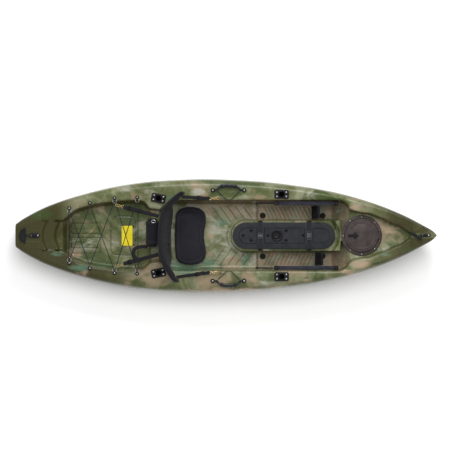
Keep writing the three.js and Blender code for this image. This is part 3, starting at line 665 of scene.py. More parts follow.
# How far each corner is rounded, and how many columns each straight run between corners has.
ROUNDING = [0, 12, 14, 20, 16, 34, 20, 60, 60, 50, 10, 10, 14, 12, 0]
RUNS = [16, 3, 44, 9, 10, 3, 5, 4, 5, 9, 1, 3, 3, 3]
COARSE_RUNS = [1, 1, 3, 2, 1, 1, 1, 1, 1, 1, 1, 1, 1, 1]


def half_ring(corners, runs, fillet):
    """The corners' line with its corners rounded, as columns that match from station to station."""
    columns, kinds = [], []
    count = corners.shape[1]
    reach = np.zeros(corners.shape[:2])
    for k in range(1, count - 1):
        before = np.linalg.norm(corners[:, k] - corners[:, k - 1], axis=1)
        after = np.linalg.norm(corners[:, k + 1] - corners[:, k], axis=1)
        reach[:, k] = np.minimum(ROUNDING[k], 0.42 * np.minimum(before, after))

    def toward(k, other):
        way = corners[:, other] - corners[:, k]
        size = np.maximum(np.linalg.norm(way, axis=1), 1e-6)
        return corners[:, k] + way * (reach[:, k] / size)[:, None]

    for k in range(count - 1):
        start, end = toward(k, k + 1), toward(k + 1, k)
        for j in range(runs[k] + 1):
            t = j / (runs[k] + 1)
            if k and j == 0:
                continue  # the fillet before this run ends here
            columns.append(start * (1 - t) + end * t)
            kinds.append((k, t))
        if k + 1 < count - 1:
            inward, outward = toward(k + 1, k), toward(k + 1, k + 2)
            for j in range(fillet + 1):
                t = j / fillet
                a, c = inward * (1 - t) ** 2, corners[:, k + 1] * 2 * t * (1 - t)
                columns.append(a + c + outward * t * t)
                kinds.append((k + 0.5, t))
    columns.append(corners[:, -1])
    kinds.append((count - 2, 1.0))
    return np.stack(columns, 1), kinds


def ring_mesh(name, stations, half):
    """A closed skin through mirrored half rings."""
    count, size = half.shape[:2]
    other = half[:, -2:0:-1] * [-1, 1]
    full = np.concatenate([half, other], 1)
    size = full.shape[1]
    xs = np.repeat(stations[:, None], size, 1)[..., None]
    verts = np.concatenate([xs, full], 2).reshape(-1, 3)
    i, j = np.meshgrid(np.arange(count - 1), np.arange(size), indexing="ij")
    n = (j + 1) % size
    quads = np.stack([i * size + j, i * size + n, (i + 1) * size + n, (i + 1) * size + j], -1)
    faces = quads.reshape(-1, 4)[:, ::-1].tolist()
    caps = [tuple(range(size))[::-1], tuple((count - 1) * size + k for k in range(size))]
    mesh = bpy.data.meshes.new(name)
    mesh.from_pydata((verts * MM).tolist(), [], faces + [c[::-1] for c in caps])
    mesh.validate()
    obj = bpy.data.objects.new(name, mesh)
    bpy.context.scene.collection.objects.link(obj)
    return obj


def hull_stations():
    """Sections close together where the deck has steps or moulded detail."""
    spans = [
        (STERN, -1480, 5), (-1480, -1340, 10), (-1340, -1150, 3.5), (-1150, -1000, 5), (-1000, -900, 6),
        (-900, -600, 6), (-600, -530, 3.5), (-530, -490, 5), (-490, -450, 3), (-450, -60, 8),
        (-60, 34, 4), (34, 54, 1.6), (54, 200, 4), (200, 222, 5), (222, 242, 2), (242, 290, 6),
        (290, 650, 4.5), (650, 770, 6), (770, 920, 4), (920, 1120, 7), (1120, 1320, 7),
        (1320, 1360, 2.5), (1360, 1480, 8), (1480, BOW, 4),
    ]
    parts = [np.arange(a, b - pitch * 0.4, pitch) for a, b, pitch in spans]
    return np.concatenate(parts + [np.array([BOW])])


def blob(x, y, spots):
    """The greatest of several soft spots, each (x, y, reach along, reach across, strength)."""
    best = np.zeros_like(x)
    for cx, cy, rx, ry, strength in spots:
        away = np.hypot((x - cx) / rx, (y - cy) / ry)
        best = np.maximum(best, strength * step(1.6, 0.0, away))
    return best


TAN_SPOTS = [
    (-1090, -115, 75, 60, 0.8), (-1035, -275, 60, 28, 0.7), (-120, 40, 50, 120, 0.55),
    (-110, -60, 45, 60, 0.4),
    (-20, -392, 330, 22, 0.85), (270, 175, 55, 65, 0.75), (330, 165, 50, 50, 0.5), (745, 170, 60, 60, 0.8),
    (360, -170, 60, 60, 0.6), (520, -165, 60, 50, 0.7), (640, -175, 40, 40, 0.6), (965, -215, 90, 40, 0.95),
    (880, -270, 80, 30, 0.8), (1180, 50, 90, 70, 0.75), (930, 205, 60, 32, 0.85), (-90, -385, 120, 25, 0.8),
    (320, -365, 150, 24, 0.6), (-1000, 30, 130, 70, 0.35), (-560, -250, 60, 30, 0.5), (470, 330, 60, 20, 0.3),
    (215, -330, 120, 40, 0.4), (-330, -300, 60, 30, 0.5), (600, -330, 70, 20, 0.6),
]
PALE_SPOTS = [
    (-750, 345, 120, 45, 0.6), (-190, 318, 60, 35, 0.9), (-560, 320, 90, 30, 0.6),
    (-850, -40, 160, 120, 0.35),
    (20, -100, 110, 110, 0.75), (-80, 40, 90, 150, 0.7), (-1040, -60, 130, 90, 0.5),
    # The last spot on the next line, at (600, 300) on the port bow rim, is a painted highlight standing in
    # for the rim's gloss streak; the other pale spots are the swirl's own colour.
    (-620, 30, 70, 160, 0.5), (210, 200, 40, 60, 0.9), (-100, 120, 45, 50, 0.6), (600, 300, 150, 40, 0.5),
    (215, -170, 22, 70, 0.7), (300, -345, 120, 35, 0.5), (-480, 200, 50, 40, 0.6), (1150, -95, 60, 30, 0.5),
    (60, 330, 60, 30, 0.5), (480, -180, 40, 50, 0.4), (-960, -170, 110, 40, 0.3), (1340, 60, 60, 20, 0.3),
]
TEAL_SPOTS = [
    (-1215, -135, 60, 34, 0.8), (-300, -225, 150, 80, 1.1), (-120, -200, 110, 60, 0.8),
    (-1060, -235, 110, 40, 0.8), (-390, 275, 70, 42, 0.8), (-30, 100, 90, 32, 0.75),
    (145, -175, 50, 60, 0.95), (-900, -215, 100, 30, 0.7), (-690, -170, 90, 40, 0.4),
    (-60, -150, 60, 40, 0.5),
    (1140, -125, 60, 30, 0.5), (-460, 240, 50, 30, 0.6), (100, 130, 60, 40, 0.4), (360, 215, 80, 30, 0.4),
    (40, 40, 40, 30, 0.5), (-360, -200, 50, 50, 0.6),
]
DARK_SPOTS = [
    (1150, -205, 160, 26, 0.7), (1330, -105, 130, 26, 0.7), (1180, 205, 170, 16, 0.6),
    (-1320, 150, 140, 50, 0.5),
    (-620, 60, 40, 90, 0.35), (-80, 160, 60, 50, 0.35), (760, 262, 60, 24, 0.5), (60, 345, 90, 24, 0.4),
    (-1190, 120, 60, 40, 0.5), (-450, -335, 60, 40, 0.6), (-700, -330, 110, 28, 0.5),
    (-290, -385, 60, 20, 0.5),
    (470, 190, 90, 40, 0.45), (430, -145, 40, 30, 0.6), (560, -200, 30, 30, 0.5), (840, 170, 50, 60, 0.35),
    (870, -160, 50, 60, 0.45), (480, -345, 90, 28, 0.45), (730, -330, 80, 25, 0.4),
    (-1000, 290, 90, 30, 0.35),
    (-330, 300, 50, 30, 0.5), (-850, 110, 60, 50, 0.3), (560, 140, 60, 30, 0.4),
]


def paint_masks(mesh):
    """Where each colour of the moulded swirl is likely, as point attributes; some of them also carry painted
    shade and a painted highlight.
    """
    co = np.zeros(len(mesh.vertices) * 3, np.float32)
    mesh.vertices.foreach_get("co", co)
    x, y, z = (co.reshape(-1, 3) / MM).T
    wide, well, floor = np.abs(y), soft_well(x), soft_floor(x)
    low = step(26, 6, z - floor)
    on_floor = low * step(4, -10, wide - well)
    ends = np.maximum(step(-960, -1330, x), step(760, 1330, x) * 0.72 * (1 - on_floor * 0.8))
    share_out = wide / np.maximum(half_beam(x), 1)
    below_rim = gunwale(x) - z
    # Painted shade: the outer edge of the rim, where the deck turns down, is darkened.
    edge = step(0.86, 0.985, share_out) * step(90, 30, below_rim) * 0.4
    outside = step(0.93, 0.98, share_out) * step(20, 90, below_rim) * 0.14
    # Painted shade on the well walls: heavy on the port walls (y > 0), which face away from the light,
    # lighter on the starboard walls.
    wall = step(10, 26, z - floor) * step(6, 20, below_rim)
    wall = wall * step(-34, -20, wide - well) * step(4, -2, wide - well)
    stern_rim = step(-480, -900, x) * step(20, -60, y) * step(-8, 10, wide - well) * 0.85
    # Painted shade on the footwell's sloped front wall and on the console's lower sides.
    bulkhead_shade = step(770, 790, x) * step(905, 885, x) * (z < 279) * (wide < well) * 0.15
    console_wall_shade = (x > 50) * (x < 850) * (wide < 124) * (wide > 104) * (z < 205) * 0.3
    deep = step(222, 240, x) * step(915, 890, x) * on_floor
    seat_floor = step(-470, -450, x) * step(240, 222, x) * on_floor
    top = ((z > floor - 6) * (wide < well + 4) * (z > 80)) > 0
    masks = {
        "olive_and_edge_shade": np.maximum(np.maximum(ends, edge), stern_rim) + outside,
        "brown": np.maximum(np.maximum(wall * np.where(y > 0, 0.95, 0.35), bulkhead_shade), console_wall_shade),
        "tan": np.maximum(blob(x, y, TAN_SPOTS), deep * 0.6),
        "pale": np.maximum(blob(x, y, PALE_SPOTS), (deep + seat_floor) * 0.42),
        "teal": blob(x, y, TEAL_SPOTS), "dark": blob(x, y, DARK_SPOTS),
        # Painted shade along the moulded grooves of the deck floors, kept off the console.
        "groove": groove_lines(x, y) * top * np.where((x > 39) & (wide < 122) & (x < 900), 0, 1),
    }
    for name, values in masks.items():
        layer = mesh.attributes.new(name, "FLOAT", "POINT")
        layer.data.foreach_set("value", values.astype(np.float32))


def build_hull():
    stations = hull_stations()
    half, kinds = half_ring(corner_points(stations), RUNS, 5)
    xs = np.repeat(stations[:, None], half.shape[1], 1)
    on_centre = np.array([k < 1 for k, _ in kinds])
    share = np.array([
        1.0 if 1.4 < k < 3 else (1 - t if k == 3 else (1.0 if k == 2.5 else 0.0)) for k, t in kinds
    ])
    y = half[..., 0]
    half[:, on_centre, 1] = console_top(xs, y)[:, on_centre]
    arc = soft_floor(xs - stern_shift(xs, y)) - soft_floor(xs)
    half[..., 1] += arc * share
    flat = np.array([1.0 if k < 1 or 1.9 < k < 3 else 0.0 for k, _ in kinds])
    half[..., 1] += relief(xs, y) * flat * np.where((xs > 39) & (np.abs(y) < 122) & (xs < 900), 0, 1)
    # Rounded corners at the transom and the stem.
    for i, x in enumerate(stations):
        inset = 1 - min((x - STERN) / 5, (BOW - x) / 5 + 0.3, 1)
        if inset > 0:
            pull = 5 * (1 - math.sqrt(max(1 - inset ** 2, 0)))
            middle = (half[i, :, 1].max() + half[i, :, 1].min()) / 2
            tall = (half[i, :, 1].max() - half[i, :, 1].min()) / 2
            half[i, :, 1] = middle + (half[i, :, 1] - middle) * (1 - min(pull, tall * 0.5) / tall)
            half[i, :, 0] *= 1 - min(pull / max(half[i, :, 0].max(), 1), 0.5)
    hull = ring_mesh("hull_shell", stations, half)
    wall = 8.0
    inner_x = np.unique(np.concatenate([
        np.arange(STERN + wall, 1470, 40),
        [s + d for s in (
            -1335, -1320, -1245, -1230, -1180, -1160, -556, -545, -478, -466, 40, 46, 225, 233, 775, 900,
            1330, 1345
        )
         for d in (-10, 0, 10)],
    ]))
    inner_half, _ = half_ring(corner_points(inner_x[inner_x < 1470], wall), COARSE_RUNS, 2)
    hollow = ring_mesh("hollow", inner_x[inner_x < 1470], inner_half)
    openings = [
        prism("mouth", stadium(118, 732, 64), 150, 245),
        prism("hatch", circle(HATCH_X, 0, 114, 72), 262, 315)
    ]
    for side in (1, -1):
        for x, y in SCUPPERS:
            cut(hollow, prism("tube", circle(x, side * y, 21, 32), -20, 150))
            openings.append(prism("scupper", circle(x, side * y, 15.4, 32), -20, 150))
        for _, x, y, _ in ROD_HOLDERS:
            openings.append(prism("rod", circle(x, side * y, 24.4, 32), 270, 370))
    cut(hull, hollow, *openings)
    paint_masks(hull.data)
    placed(hull, "hull", CAMO, "hull", sharp=48)


build_hull()

# ---- Scupper plugs, rod holders ----

for label, side in SIDES:
    for which, (x, y) in zip(("aft", "fore"), SCUPPERS):
        node = f"scupper_plug_{which}_{label}"
        base = top_of(node) - 9
        profile = [
            (0, -46), (10, -46), (11, -44), (12, -30), (12.8, -29), (13.2, -16), (14, -15), (14.4, -1),
            (20, -0.2),
            (21.6, 1), (21.8, 3.4), (20.4, 5.4), (16.6, 6.4), (15.4, 8.2), (14.2, 8), (13.2, 4.6), (8, 4),
            (6.6, 4.6), (6, 8.4), (4.6, 9), (0, 9),
        ]
        plug = lathe(f"plug_{which}_{label}", profile, x, side * y, base)
        placed(plug, f"plug_{which}_{label}", PLUG, node)

for which, x, y, yaw in ROD_HOLDERS:
    for label, side in SIDES:
        node = f"rod_holder_{which}_{label}"
        top = top_of(node)
        base = prism("plate", rounded(105, 65, 14), -5, 0)
        rim = prism("rim", circle(0, 0, 25.5), -5, 3.2)
        cut(base, rim, operation="UNION")
        cut(base, prism("bore", circle(0, 0, 20.6), -12, 20))
        bevelled(base, 1.3, 3, 50)
        tube = lathe(
            "tube",
            [(20.5, -5), (24, -5.2), (24, -195), (0, -195), (0, -191), (20.5, -191), (20.5, -5)][:-1]
        )
        holder = joined(f"holder_{which}_{label}", base, tube)
        turn = Matrix.Rotation(math.radians(-side * yaw), 4, "Z")
        holder.data.transform(Matrix.Translation((x * MM, side * y * MM, top * MM)) @ turn)
        placed(holder, "hull", BLACK, node)
        for i, (dx, dy) in enumerate([(34, 15.5), (34, -15.5), (-34, 15.5), (-34, -15.5)]):
            spot = turn @ Vector((dx, dy, 0))
            screw(f"screw_{which}_{label}_{i}", x + spot.x, side * y + spot.y, top, 6.4, "hull")

# ---- Bow hatch ----


def bow_hatch():
    rim_base = 285.4
    profile = [
        (104, -14), (111.5, -14), (111.5, 0), (146.4, 0), (147.4, 1), (147.5, 5.2), (146, 7.4), (142.6, 9.3),
        (126.2, 9.5), (125.2, 8.6), (125, 5), (105, 5), (104, 4), (104, -14),
    ]
    rim = lathe("hatch_rim_ring", profile[:-1] + [(104, -13.9)], HATCH_X, 0, rim_base, 96)
    ears = []
    for side in (1, -1):
        outline = [(-7, 3)] + [(
            7 * math.cos(a), 21.6 + 7 * math.sin(a)
        ) for a in np.linspace(math.pi, 0, 13)] + [(7, 3)]
        ear = prism("ear", outline[::-1], -7, 7)
        spin = Matrix.Rotation(math.pi / 2, 4, "X")
        ear.data.transform(Matrix.Translation((1.117, side * 0.031, rim_base * MM)) @ spin)
        ears.append(bevelled(ear, 1))
    placed(joined("hatch_rim", rim, *ears), "hull", TAUPE, "bow_hatch_rim")
    for i, degrees in enumerate([180, 128, 90, 45, 232, 270, 315, 14, -14]):
        a = math.radians(degrees)
        reach = 134.5
        screw(
            f"hatch_screw_{i}", HATCH_X + reach * math.cos(a), reach * math.sin(a), rim_base + 9.2, 4.6,
            "hull"
        )
    seal = [(106, 5), (122, 5), (122.4, 6.4), (121, 8), (114, 7.4), (107, 8), (105.6, 6.4), (106, 5.1)]
    placed(lathe("hatch_seal", seal, HATCH_X, 0, 285.8, 96), "hull", RUBBER, "bow_hatch_seal")
    lid = [
        (0, 9.2), (118.5, 9.2), (121.4, 11.6), (122, 13), (122, 16), (121, 17.6), (116.6, 20.6), (113, 21.2),
        (110, 20), (107.4, 20.2), (105.6, 23), (103.4, 23.7), (88, 23.7), (86.8, 22.8), (85.4, 23.7),
        (0, 23.7),
    ]
    disc = lathe("lid_disc", lid, HATCH_X, 0, 285.4, 96)
    leaf = bevelled(prism("leaf", [(1096, -21), (1117, -21), (1117, 21), (1096, 21)], 298.4, 306), 1)
    barrel = lathe("barrel", [(3.4, -22), (7, -22), (7, 22), (3.4, 22)], sides=28)
    barrel.data.transform(Matrix.Translation((1.117, 0, 0.307)) @ Matrix.Rotation(math.pi / 2, 4, "X"))
    placed(joined("hatch_lid", disc, leaf, barrel), "hatch_lid", TAUPE, "bow_hatch_lid")
    pin = lathe(
        "hatch_pin",
        [(0, -42), (4, -42), (5, -41), (5, -40), (3, -39.6), (3, 39.6), (5, 40), (5, 41), (4, 42), (0, 42)],
        sides=24
    )
    pin.data.transform(Matrix.Translation((1.117, 0, 0.307)) @ Matrix.Rotation(math.pi / 2, 4, "X"))
    placed(pin, "hull", STEEL, "bow_hatch_hinge_pin")
    knob_x, seat_z = 938, 309.4
    lobes = []
    for k in range(72):
        a = 2 * math.pi * k / 72
        radius = 20.5 + 3.4 * math.cos(4 * a)
        lobes.append((knob_x + radius * math.cos(a), radius * math.sin(a)))
    knob = bevelled(prism("lobes", lobes, seat_z, seat_z + 9.5), 2.2, 3, 50)
    cap = lathe("cap", [(0, 9), (11.5, 9), (11.5, 10.4), (10, 11), (0, 11)], knob_x, 0, seat_z)
    blade = [(887, -6), (893, -9), (925, -10), (925, 10), (893, 9), (887, 6)]
    lever = bevelled(prism("lever", blade, seat_z, seat_z + 7), 1.6, 3)
    placed(joined("hatch_latch", knob, cap, lever), "hatch_latch", BLACK, "bow_hatch_latch")


bow_hatch()

# ---- Console hatch ----


def console():
    base, top = 219.0, 237.0
    lid = bevelled(prism("console_cover", stadium(51, 797, 96, 40), base, top), 3.5, 4)

    def panel(x0, x1, half, round_aft, round_fore, shrink):
        x0, x1, half = x0 + shrink, x1 - shrink, half - shrink
        turn = np.linspace(-math.pi / 2, math.pi / 2, 16)
        fore = [(x1 - half + half * math.cos(a), half * math.sin(a)) for a in turn] if round_fore else [
            (x1, -half), (x1, half)
        ]
        aft = [(x0 + half - half * math.cos(a), -half * math.sin(a)) for a in turn] if round_aft else [
            (x0, half), (x0, -half)
        ]
        return fore + aft

    for shape in ((95, 228, 59, True, False), (279, 575, 57, False, False), (634, 759, 55, False, True)):
        core = prism("core", panel(*shape, 4), top - 9, top + 9)
        cut(lid, cut(prism("channel", panel(*shape, 0), top - 2.6, top + 5), core))
        # Painted shade: a thin black strip laid in each panel channel darkens the lid's panel lines.
        core = prism("core", panel(*shape, 3.7), top - 9, top + 9)
        line = cut(prism(f"lid_groove_shade_{shape[0]}", panel(*shape, 0.3), top - 2.8, top - 1.8), core)
        placed(line, "console_lid", RUBBER)
    holes = [(126, 0), (185, 36), (185, -36), (307, 0), (439, 35), (439, -35), (564, 0)]
    cut(lid, *[prism("hole", circle(x, y, 11, 32), base - 5, top + 5) for x, y in holes])
    cut(lid, prism("hole", circle(373, 0, 31, 48), base - 5, top + 5))
    placed(lid, "console_lid", SLATE, "console_lid", sharp=30)
    for i, (x, y) in enumerate(holes):
        cup = lathe(f"lid_grommet_{i}", [(7.5, -17.6), (0.0, -17.6)][::-1] + [
            (7.5, 0.4), (9, 1.2), (11.6, 1), (12, 0.2), (10.8, 0), (10.6, -18)
        ],
                    x, y, top, 32)
        placed(cup, "console_lid", BLACK)
    seal = prism("seal", stadium(84, 766, 84, 32), 215.4, 218.6)
    cut(seal, prism("core", stadium(106, 744, 68, 32), 210, 225))
    placed(bevelled(seal, 1), "hull", RUBBER, "console_seal")
    cap = lathe("dish", [
        (0, -14), (30, -14), (30.4, -13), (30.4, 0), (40.6, 0), (41.5, 1), (41.5, 5), (40, 7), (37, 8.8),
        (34, 8.4),
        (31, 6.6), (0, 5.4),
    ], 373, 0, 237.4)
    boss = lathe(
        "boss",
        [(0, 5), (25, 5.4), (25.8, 7), (25.6, 12), (24, 15.4), (21.6, 17), (18, 16.6), (15, 15), (0, 14.4)],
        367, 3, 237.4
    )
    grip = bevelled(prism("grip", rounded(44, 9, 4), 250, 254.4), 1.4, 3)
    grip.data.transform(Matrix.Translation((0.367, 0.003, 0)))
    placed(joined("console_dial", cap, boss, grip), "console_cap", BLACK, "console_cap")
    for name, x in (("aft", 251), ("fore", 607)):
        over = [
            (x, -107, 217), (x, -101, 217.4), (x, -98.6, 221), (x, -98.2, 230), (x, -97.6, 236),
            (x, -93, 238.9), (x, -60, 238.9)
        ]
        route = over + [(px, -py, pz) for px, py, pz in reversed(over)]
        band = webbing(f"lid_strap_{name}", route, 28, 2.4, 5, across=(1, 0, 0))
        placed(band, "console_lid", LID_STRAP, f"console_strap_{name}")
        frame_half, gap = (17, 20) if name == "aft" else (16, 29)
        holes = [[
            (x - 13, y0), (x + 13, y0), (x + 13, y0 + 7), (x - 13, y0 + 7)
        ] for y0 in (-gap + 4, gap - 11)]
        buckle = plate(
            f"lid_buckle_{name}", [(x + a, b) for a, b in rounded(2 * frame_half, 2 * gap, 4)], 240, 245.6,
            1.2, holes
        )
        placed(buckle, "console_lid", BUCKLE)
        for side in (1, -1):
            anchor = plate(
                f"lid_anchor_{name}_{side}", [(x + a, side * 104.5 + b) for a, b in rounded(34, 10, 3)],
                215.4, 219.6, 0.8
            )
            placed(anchor, "console_lid", BLACK)


console()

# ---- Foot braces ----


def foot_braces():
    for label, side in SIDES:
        rail = node_copy(f"rail_{label}", f"foot_rail_{label}", 1.2)
        placed(rail, "hull", RAIL, f"foot_rail_{label}")
        y = side * 234
        for end, x in (("aft", 366), ("fore", 802)):
            outline = [(x + a, y + b) for a, b in rounded(30, 31, 5)]
            bracket = plate(f"rail_bracket_{end}_{label}", outline, 297.6, 301.4, 1.2)
            placed(bracket, "hull", BLACK)
            screw(f"rail_screw_{end}_{label}", x, y, 301.4, 5, "hull", material=BUCKLE)
        body = f"pedal_{label}"
        pedal = node_copy(f"pedal_shape_{label}", f"foot_pedal_{label}", 1.6)
        placed(pedal, body, BLACK, f"foot_pedal_{label}")
        x = {"port": 650, "starboard": 674}[label] + 4
        middle = Vector((x, side * (220 - 5 - 46.5), 235))
        lean = Matrix.Rotation(math.radians(24), 4, "Y")
        for face in (1, -1):
            for row in range(7):
                bar = prism("rib", rounded(3.2, 84, 1.5, 3), -3, 3)
                bevelled(bar, 0.8)
                place = Matrix.Translation(middle * MM) @ lean @ Matrix.Translation((
                    face * 0.0082, 0, (row - 3) * 0.0145
                ))
                bar.data.transform(place)
                bar.name = f"pedal_rib_{label}_{'fore' if face > 0 else 'aft'}_{row}"
                placed(bar, body, BLACK)
        aft, fore = 237, {"port": 619.6, "starboard": 643.6}[label]
        shaft = [(0, aft), (4.5, aft), (4.5, fore), (0, fore)]
        knob = [
            (0, 217), (5.6, 217), (7.4, 218.4), (7.5, 223), (6.6, 224), (7.5, 225), (6.6, 229), (7.5, 230),
            (7.4, 236), (5, 237.4), (0, 237.4)
        ]
        rod = joined(f"rod_shape_{label}", lathe("shaft", shaft, sides=24), lathe("knob", knob, sides=16))
        along = Matrix(((0, 0, 1, 0), (0, 1, 0, y * MM), (-1, 0, 0, 0.283), (0, 0, 0, 1)))
        rod.data.transform(along)
        placed(rod, f"rod_{label}", BLACK, f"adjuster_rod_{label}")


foot_braces()

# ---- Side handles and paddle keepers ----


def handles():
    for label, side in SIDES:
        for end, x in (("aft", -94), ("fore", 134)):
            node = f"handle_pad_{end}_{label}"
            deck = base_of(node)
            profile = [
                (0, 0), (15.4, 0), (16, 1), (16, 5.4), (14.6, 8), (12, 10.4), (10, 11), (8, 10), (0, 9.8)
            ]
            placed(
                lathe(f"pad_{end}_{label}", profile, x, side * 329, deck), "hull", BLACK,
                node
            )
            screw(f"pad_screw_{end}_{label}", x, side * 329, deck + 9.8, 6.2, "hull")
        z = base_of(f"handle_pad_aft_{label}") + 11
        middle, reach = 20, 87
        points = []
        for t in np.linspace(-1, 1, 41):
            points.append((middle + t * reach, side * (329 + 34 * (1 - abs(t) ** 3)), z))
        oval = [(a * 1.22, b * 0.94) for a, b in circle(0, 0, 1, 20)]

        def grip_section(i):
            share = i / (len(points) - 1)
            size = 5.6 + 5.2 * step(0.05, 0.26, share) * step(0.95, 0.74, share)
            return [(a * size, b * size) for a, b in oval]

        grip = sweep("grip", points, grip_section)
        ties = []
        for a, b in ((-1, -0.86), (0.86, 1)):
            near = middle + (a if a < 0 else b) * reach
            ties.append(bevelled(
                prism("tab", [(near + p, side * 331 + q) for p, q in rounded(22, 15, 6)], z - 5.4, z + 3.4),
                1.5
            ))
        placed(
            joined(f"handle_{label}", grip, *ties), f"handle_{label}", GLOSS_BLACK,
            f"side_handle_{label}"
        )
        for i, share in enumerate((-0.62, -0.52, 0.52, 0.62)):
            x = middle + share * reach
            place = Vector((x, side * (329 + 34 * (1 - abs(share) ** 3)), z))
            tangent = Vector((1, side * -34 * 3 * share * abs(share) / reach, 0)).normalized()
            ring = [(a * 11.3, b * 11.3) for a, b in oval]
            band = sweep(f"grip_band_{label}_{i}", [place - tangent * 3, place + tangent * 3], lambda k: ring)
            placed(bevelled(band, 0.8), f"handle_{label}", BLACK)
        keeper_z = base_of(f"paddle_keeper_{label}") + 2.5
        line = [
            (-58, 317), (-40, 303), (-16, 279), (2, 263), (14, 259), (30, 259), (42, 263), (60, 279),
            (82, 301),
            (98, 317),
        ]
        keeper = cord(f"keeper_{label}", [(px, side * py, keeper_z) for px, py in line], 2.5, 12, 6)
        placed(keeper, "hull", CORD, f"paddle_keeper_{label}")


handles()

# ---- Bow and stern ----


def end_fittings():
    for end, screws in (("bow", (1424, 1467)), ("stern", (-1410, -1363))):
        node = f"{end}_pad_eye"
        placed(node_copy(f"{end}_eye", node, 1.2), "hull", BLACK, node)
        for i, x in enumerate(screws):
            screw(f"{end}_eye_screw_{i}", x, 0, base_of(node) + 5, 5.8, "hull")
    z = top_of("bow_toggle") - 10
    size = lambda share: 9.2 + 2.2 * step(0, 0.12, share) * step(1, 0.88, share) - 1.4 * step(
        0.2, 0, abs(share - 0.5)
    )
    line = [
        (1336, 20, z), (1345, 15, z), (1362, 5, z), (1378, -5, z), (1394, -15, z), (1410, -25, z),
        (1417, -29, z)
    ]
    grip = cord("grip", line, lambda s: size(s), 24, 5)
    lead = cord("lead", [(1380, -4, z), (1398, -2, z), (1429.3, 0, z)], 3, 12, 4)
    placed(joined("bow_grip", grip, lead), "bow_toggle", BLACK, "bow_toggle")
    base, top = base_of("stern_toggle"), top_of("stern_toggle")
    moon = [(
        -1450 + 47 * math.cos(a), 54 * math.sin(a)
    ) for a in np.linspace(math.pi / 2, 3 * math.pi / 2, 36)]
    handle = prism("moon", moon, base, top)
    half_turn = np.linspace(math.pi / 2, 3 * math.pi / 2, 24)
    hollow = [(-1454 + 30 * math.cos(a), 38 * math.sin(a)) for a in half_turn]
    cut(handle, prism("recess", hollow, top - 4, top + 5))
    bevelled(handle, 4, 4, 50)
    middle = (base + top) / 2
    lead = cord("lead", [(-1452, 0, middle), (-1430, 0, middle), (-1402.2, 0, middle)], 3, 12, 4)
    knot = cord(
        "knot",
        [(-1450 + 8 * math.cos(a), 6 * math.sin(a), middle) for a in np.linspace(0, 2 * math.pi, 13)[:-1]],
        3.4, 10, 3, True
    )
    placed(joined("stern_grip", handle, lead, knot), "stern_toggle", BLACK, "stern_toggle")


end_fittings()

# ---- Tankwell rigging ----

LOOPS = [("aft", -1134, 198), ("middle", -806, 272), ("fore", -642, 276)]


def rigging():
    for label, side in SIDES:
        for name, x, y in LOOPS:
            node = f"deck_loop_{name}_{label}"
            z = base_of(node)
            pad = lathe(
                f"loop_pad_{name}_{label}",
                [(0, 0), (13.4, 0), (14, 1), (14, 5), (12.6, 7.4), (9.6, 9), (0, 9)], x, side * y, z
            )
            placed(pad, "hull", BLACK)
            bend = [(-9, -6), (-12.6, -19), (-10.6, -31), (0, -37), (10.6, -31), (12.6, -19), (9, -6)]
            wire = cord(
                f"loop_{name}_{label}", [(x + a, side * (y + b), z + 4.2) for a, b in bend], 2.2, 14, 8
            )
            placed(wire, "hull", STEEL, node)
            screw(f"loop_screw_{name}_{label}", x, side * y, z + 9, 5.6, "hull")
        node = f"cord_button_{label}"
        z = base_of(node)
        button = [
            (0, 0), (9, 0), (8, 2), (7.6, 6), (9, 7.6), (13.4, 8), (14, 9), (13.8, 11.4), (10, 13.6),
            (7.5, 13.2), (0, 13)
        ]
        placed(lathe(f"button_{label}", button, -985, side * 237, z), "hull", BLACK, node)
        screw(f"button_screw_{label}", -985, side * 237, z + 13, 5.6, "hull")
    height = 318

    def corner(x, y, lift, back=False):
        way = 1 if y > 0 else -1
        turn = [(-6, 34), (0, 25), (6, 34)]
        points = [(x + a, y - way * b, height + lift) for a, b in turn]
        return points[::-1] if back else points

    anchors = [(-985, 237, 5), (-806, -272, -5), (-642, 276, 5)]
    back = [(-642, -276, 0), (-806, 272, 5), (-985, -237, -5), (-1134, 198, 5)]
    corners = [corner(-1134, -198, 0)] + [corner(*a) for a in anchors] + [corner(*a, back=True) for a in back]
    line = [Vector((
        -1132, -4, height
    ))] + [Vector(p) for c in corners for p in c] + [Vector((-1132, 4, height))]
    # Straight runs between the corners stay straight.
    route = [line[0]]
    for a, b in zip(line, line[1:]):
        pieces = 8 if (b - a).length > 60 else 2
        route += [a.lerp(b, k / pieces) for k in range(1, pieces + 1)]
    placed(cord("bungee", route, 2.9, 12, 1), "hull", CORD, "bungee_cord")
    sleeve = [(-1132, 81 - t * 117, height) for t in np.linspace(0, 1, 9)]
    size = lambda share: 4.4 + 1.2 * step(0, 0.08, share) * step(1, 0.92, share)
    placed(cord("bungee_sleeve", sleeve, size, 16, 1), "hull", GLOSS_BLACK)
    top = top_of("deck_label")
    film = plate("label_film", [(-718 + a, b) for a, b in rounded(78, 144, 3, 3)], top - 1.6, top, 0.3)
    placed(film, "hull", YELLOW, "deck_label")
    # Two small black plates on the floor at the label's fore edge.
    for i, y in enumerate((66, -66)):
        tab = plate(f"label_black_patch_{i}", [(-671 + a, y + b) for a, b in rounded(14, 12, 2, 3)], 190.3, 192, 0.3)
        placed(tab, "hull", BLACK)


rigging()

# ---- Seat ----

BACK_LINE = [
    (-300, 288, 352, 455), (-340, 252, 340, 470), (-378, 214, 335, 488), (-402, 170, 200, 502),
    (-420, 95, 160, 518), (-428, 0, 158, 520), (-424, -95, 160, 518), (-412, -165, 200, 502),
    (-392, -222, 335, 488), (-368, -268, 340, 470), (-342, -312, 352, 455),
]
RECLINE = math.tan(math.radians(12))


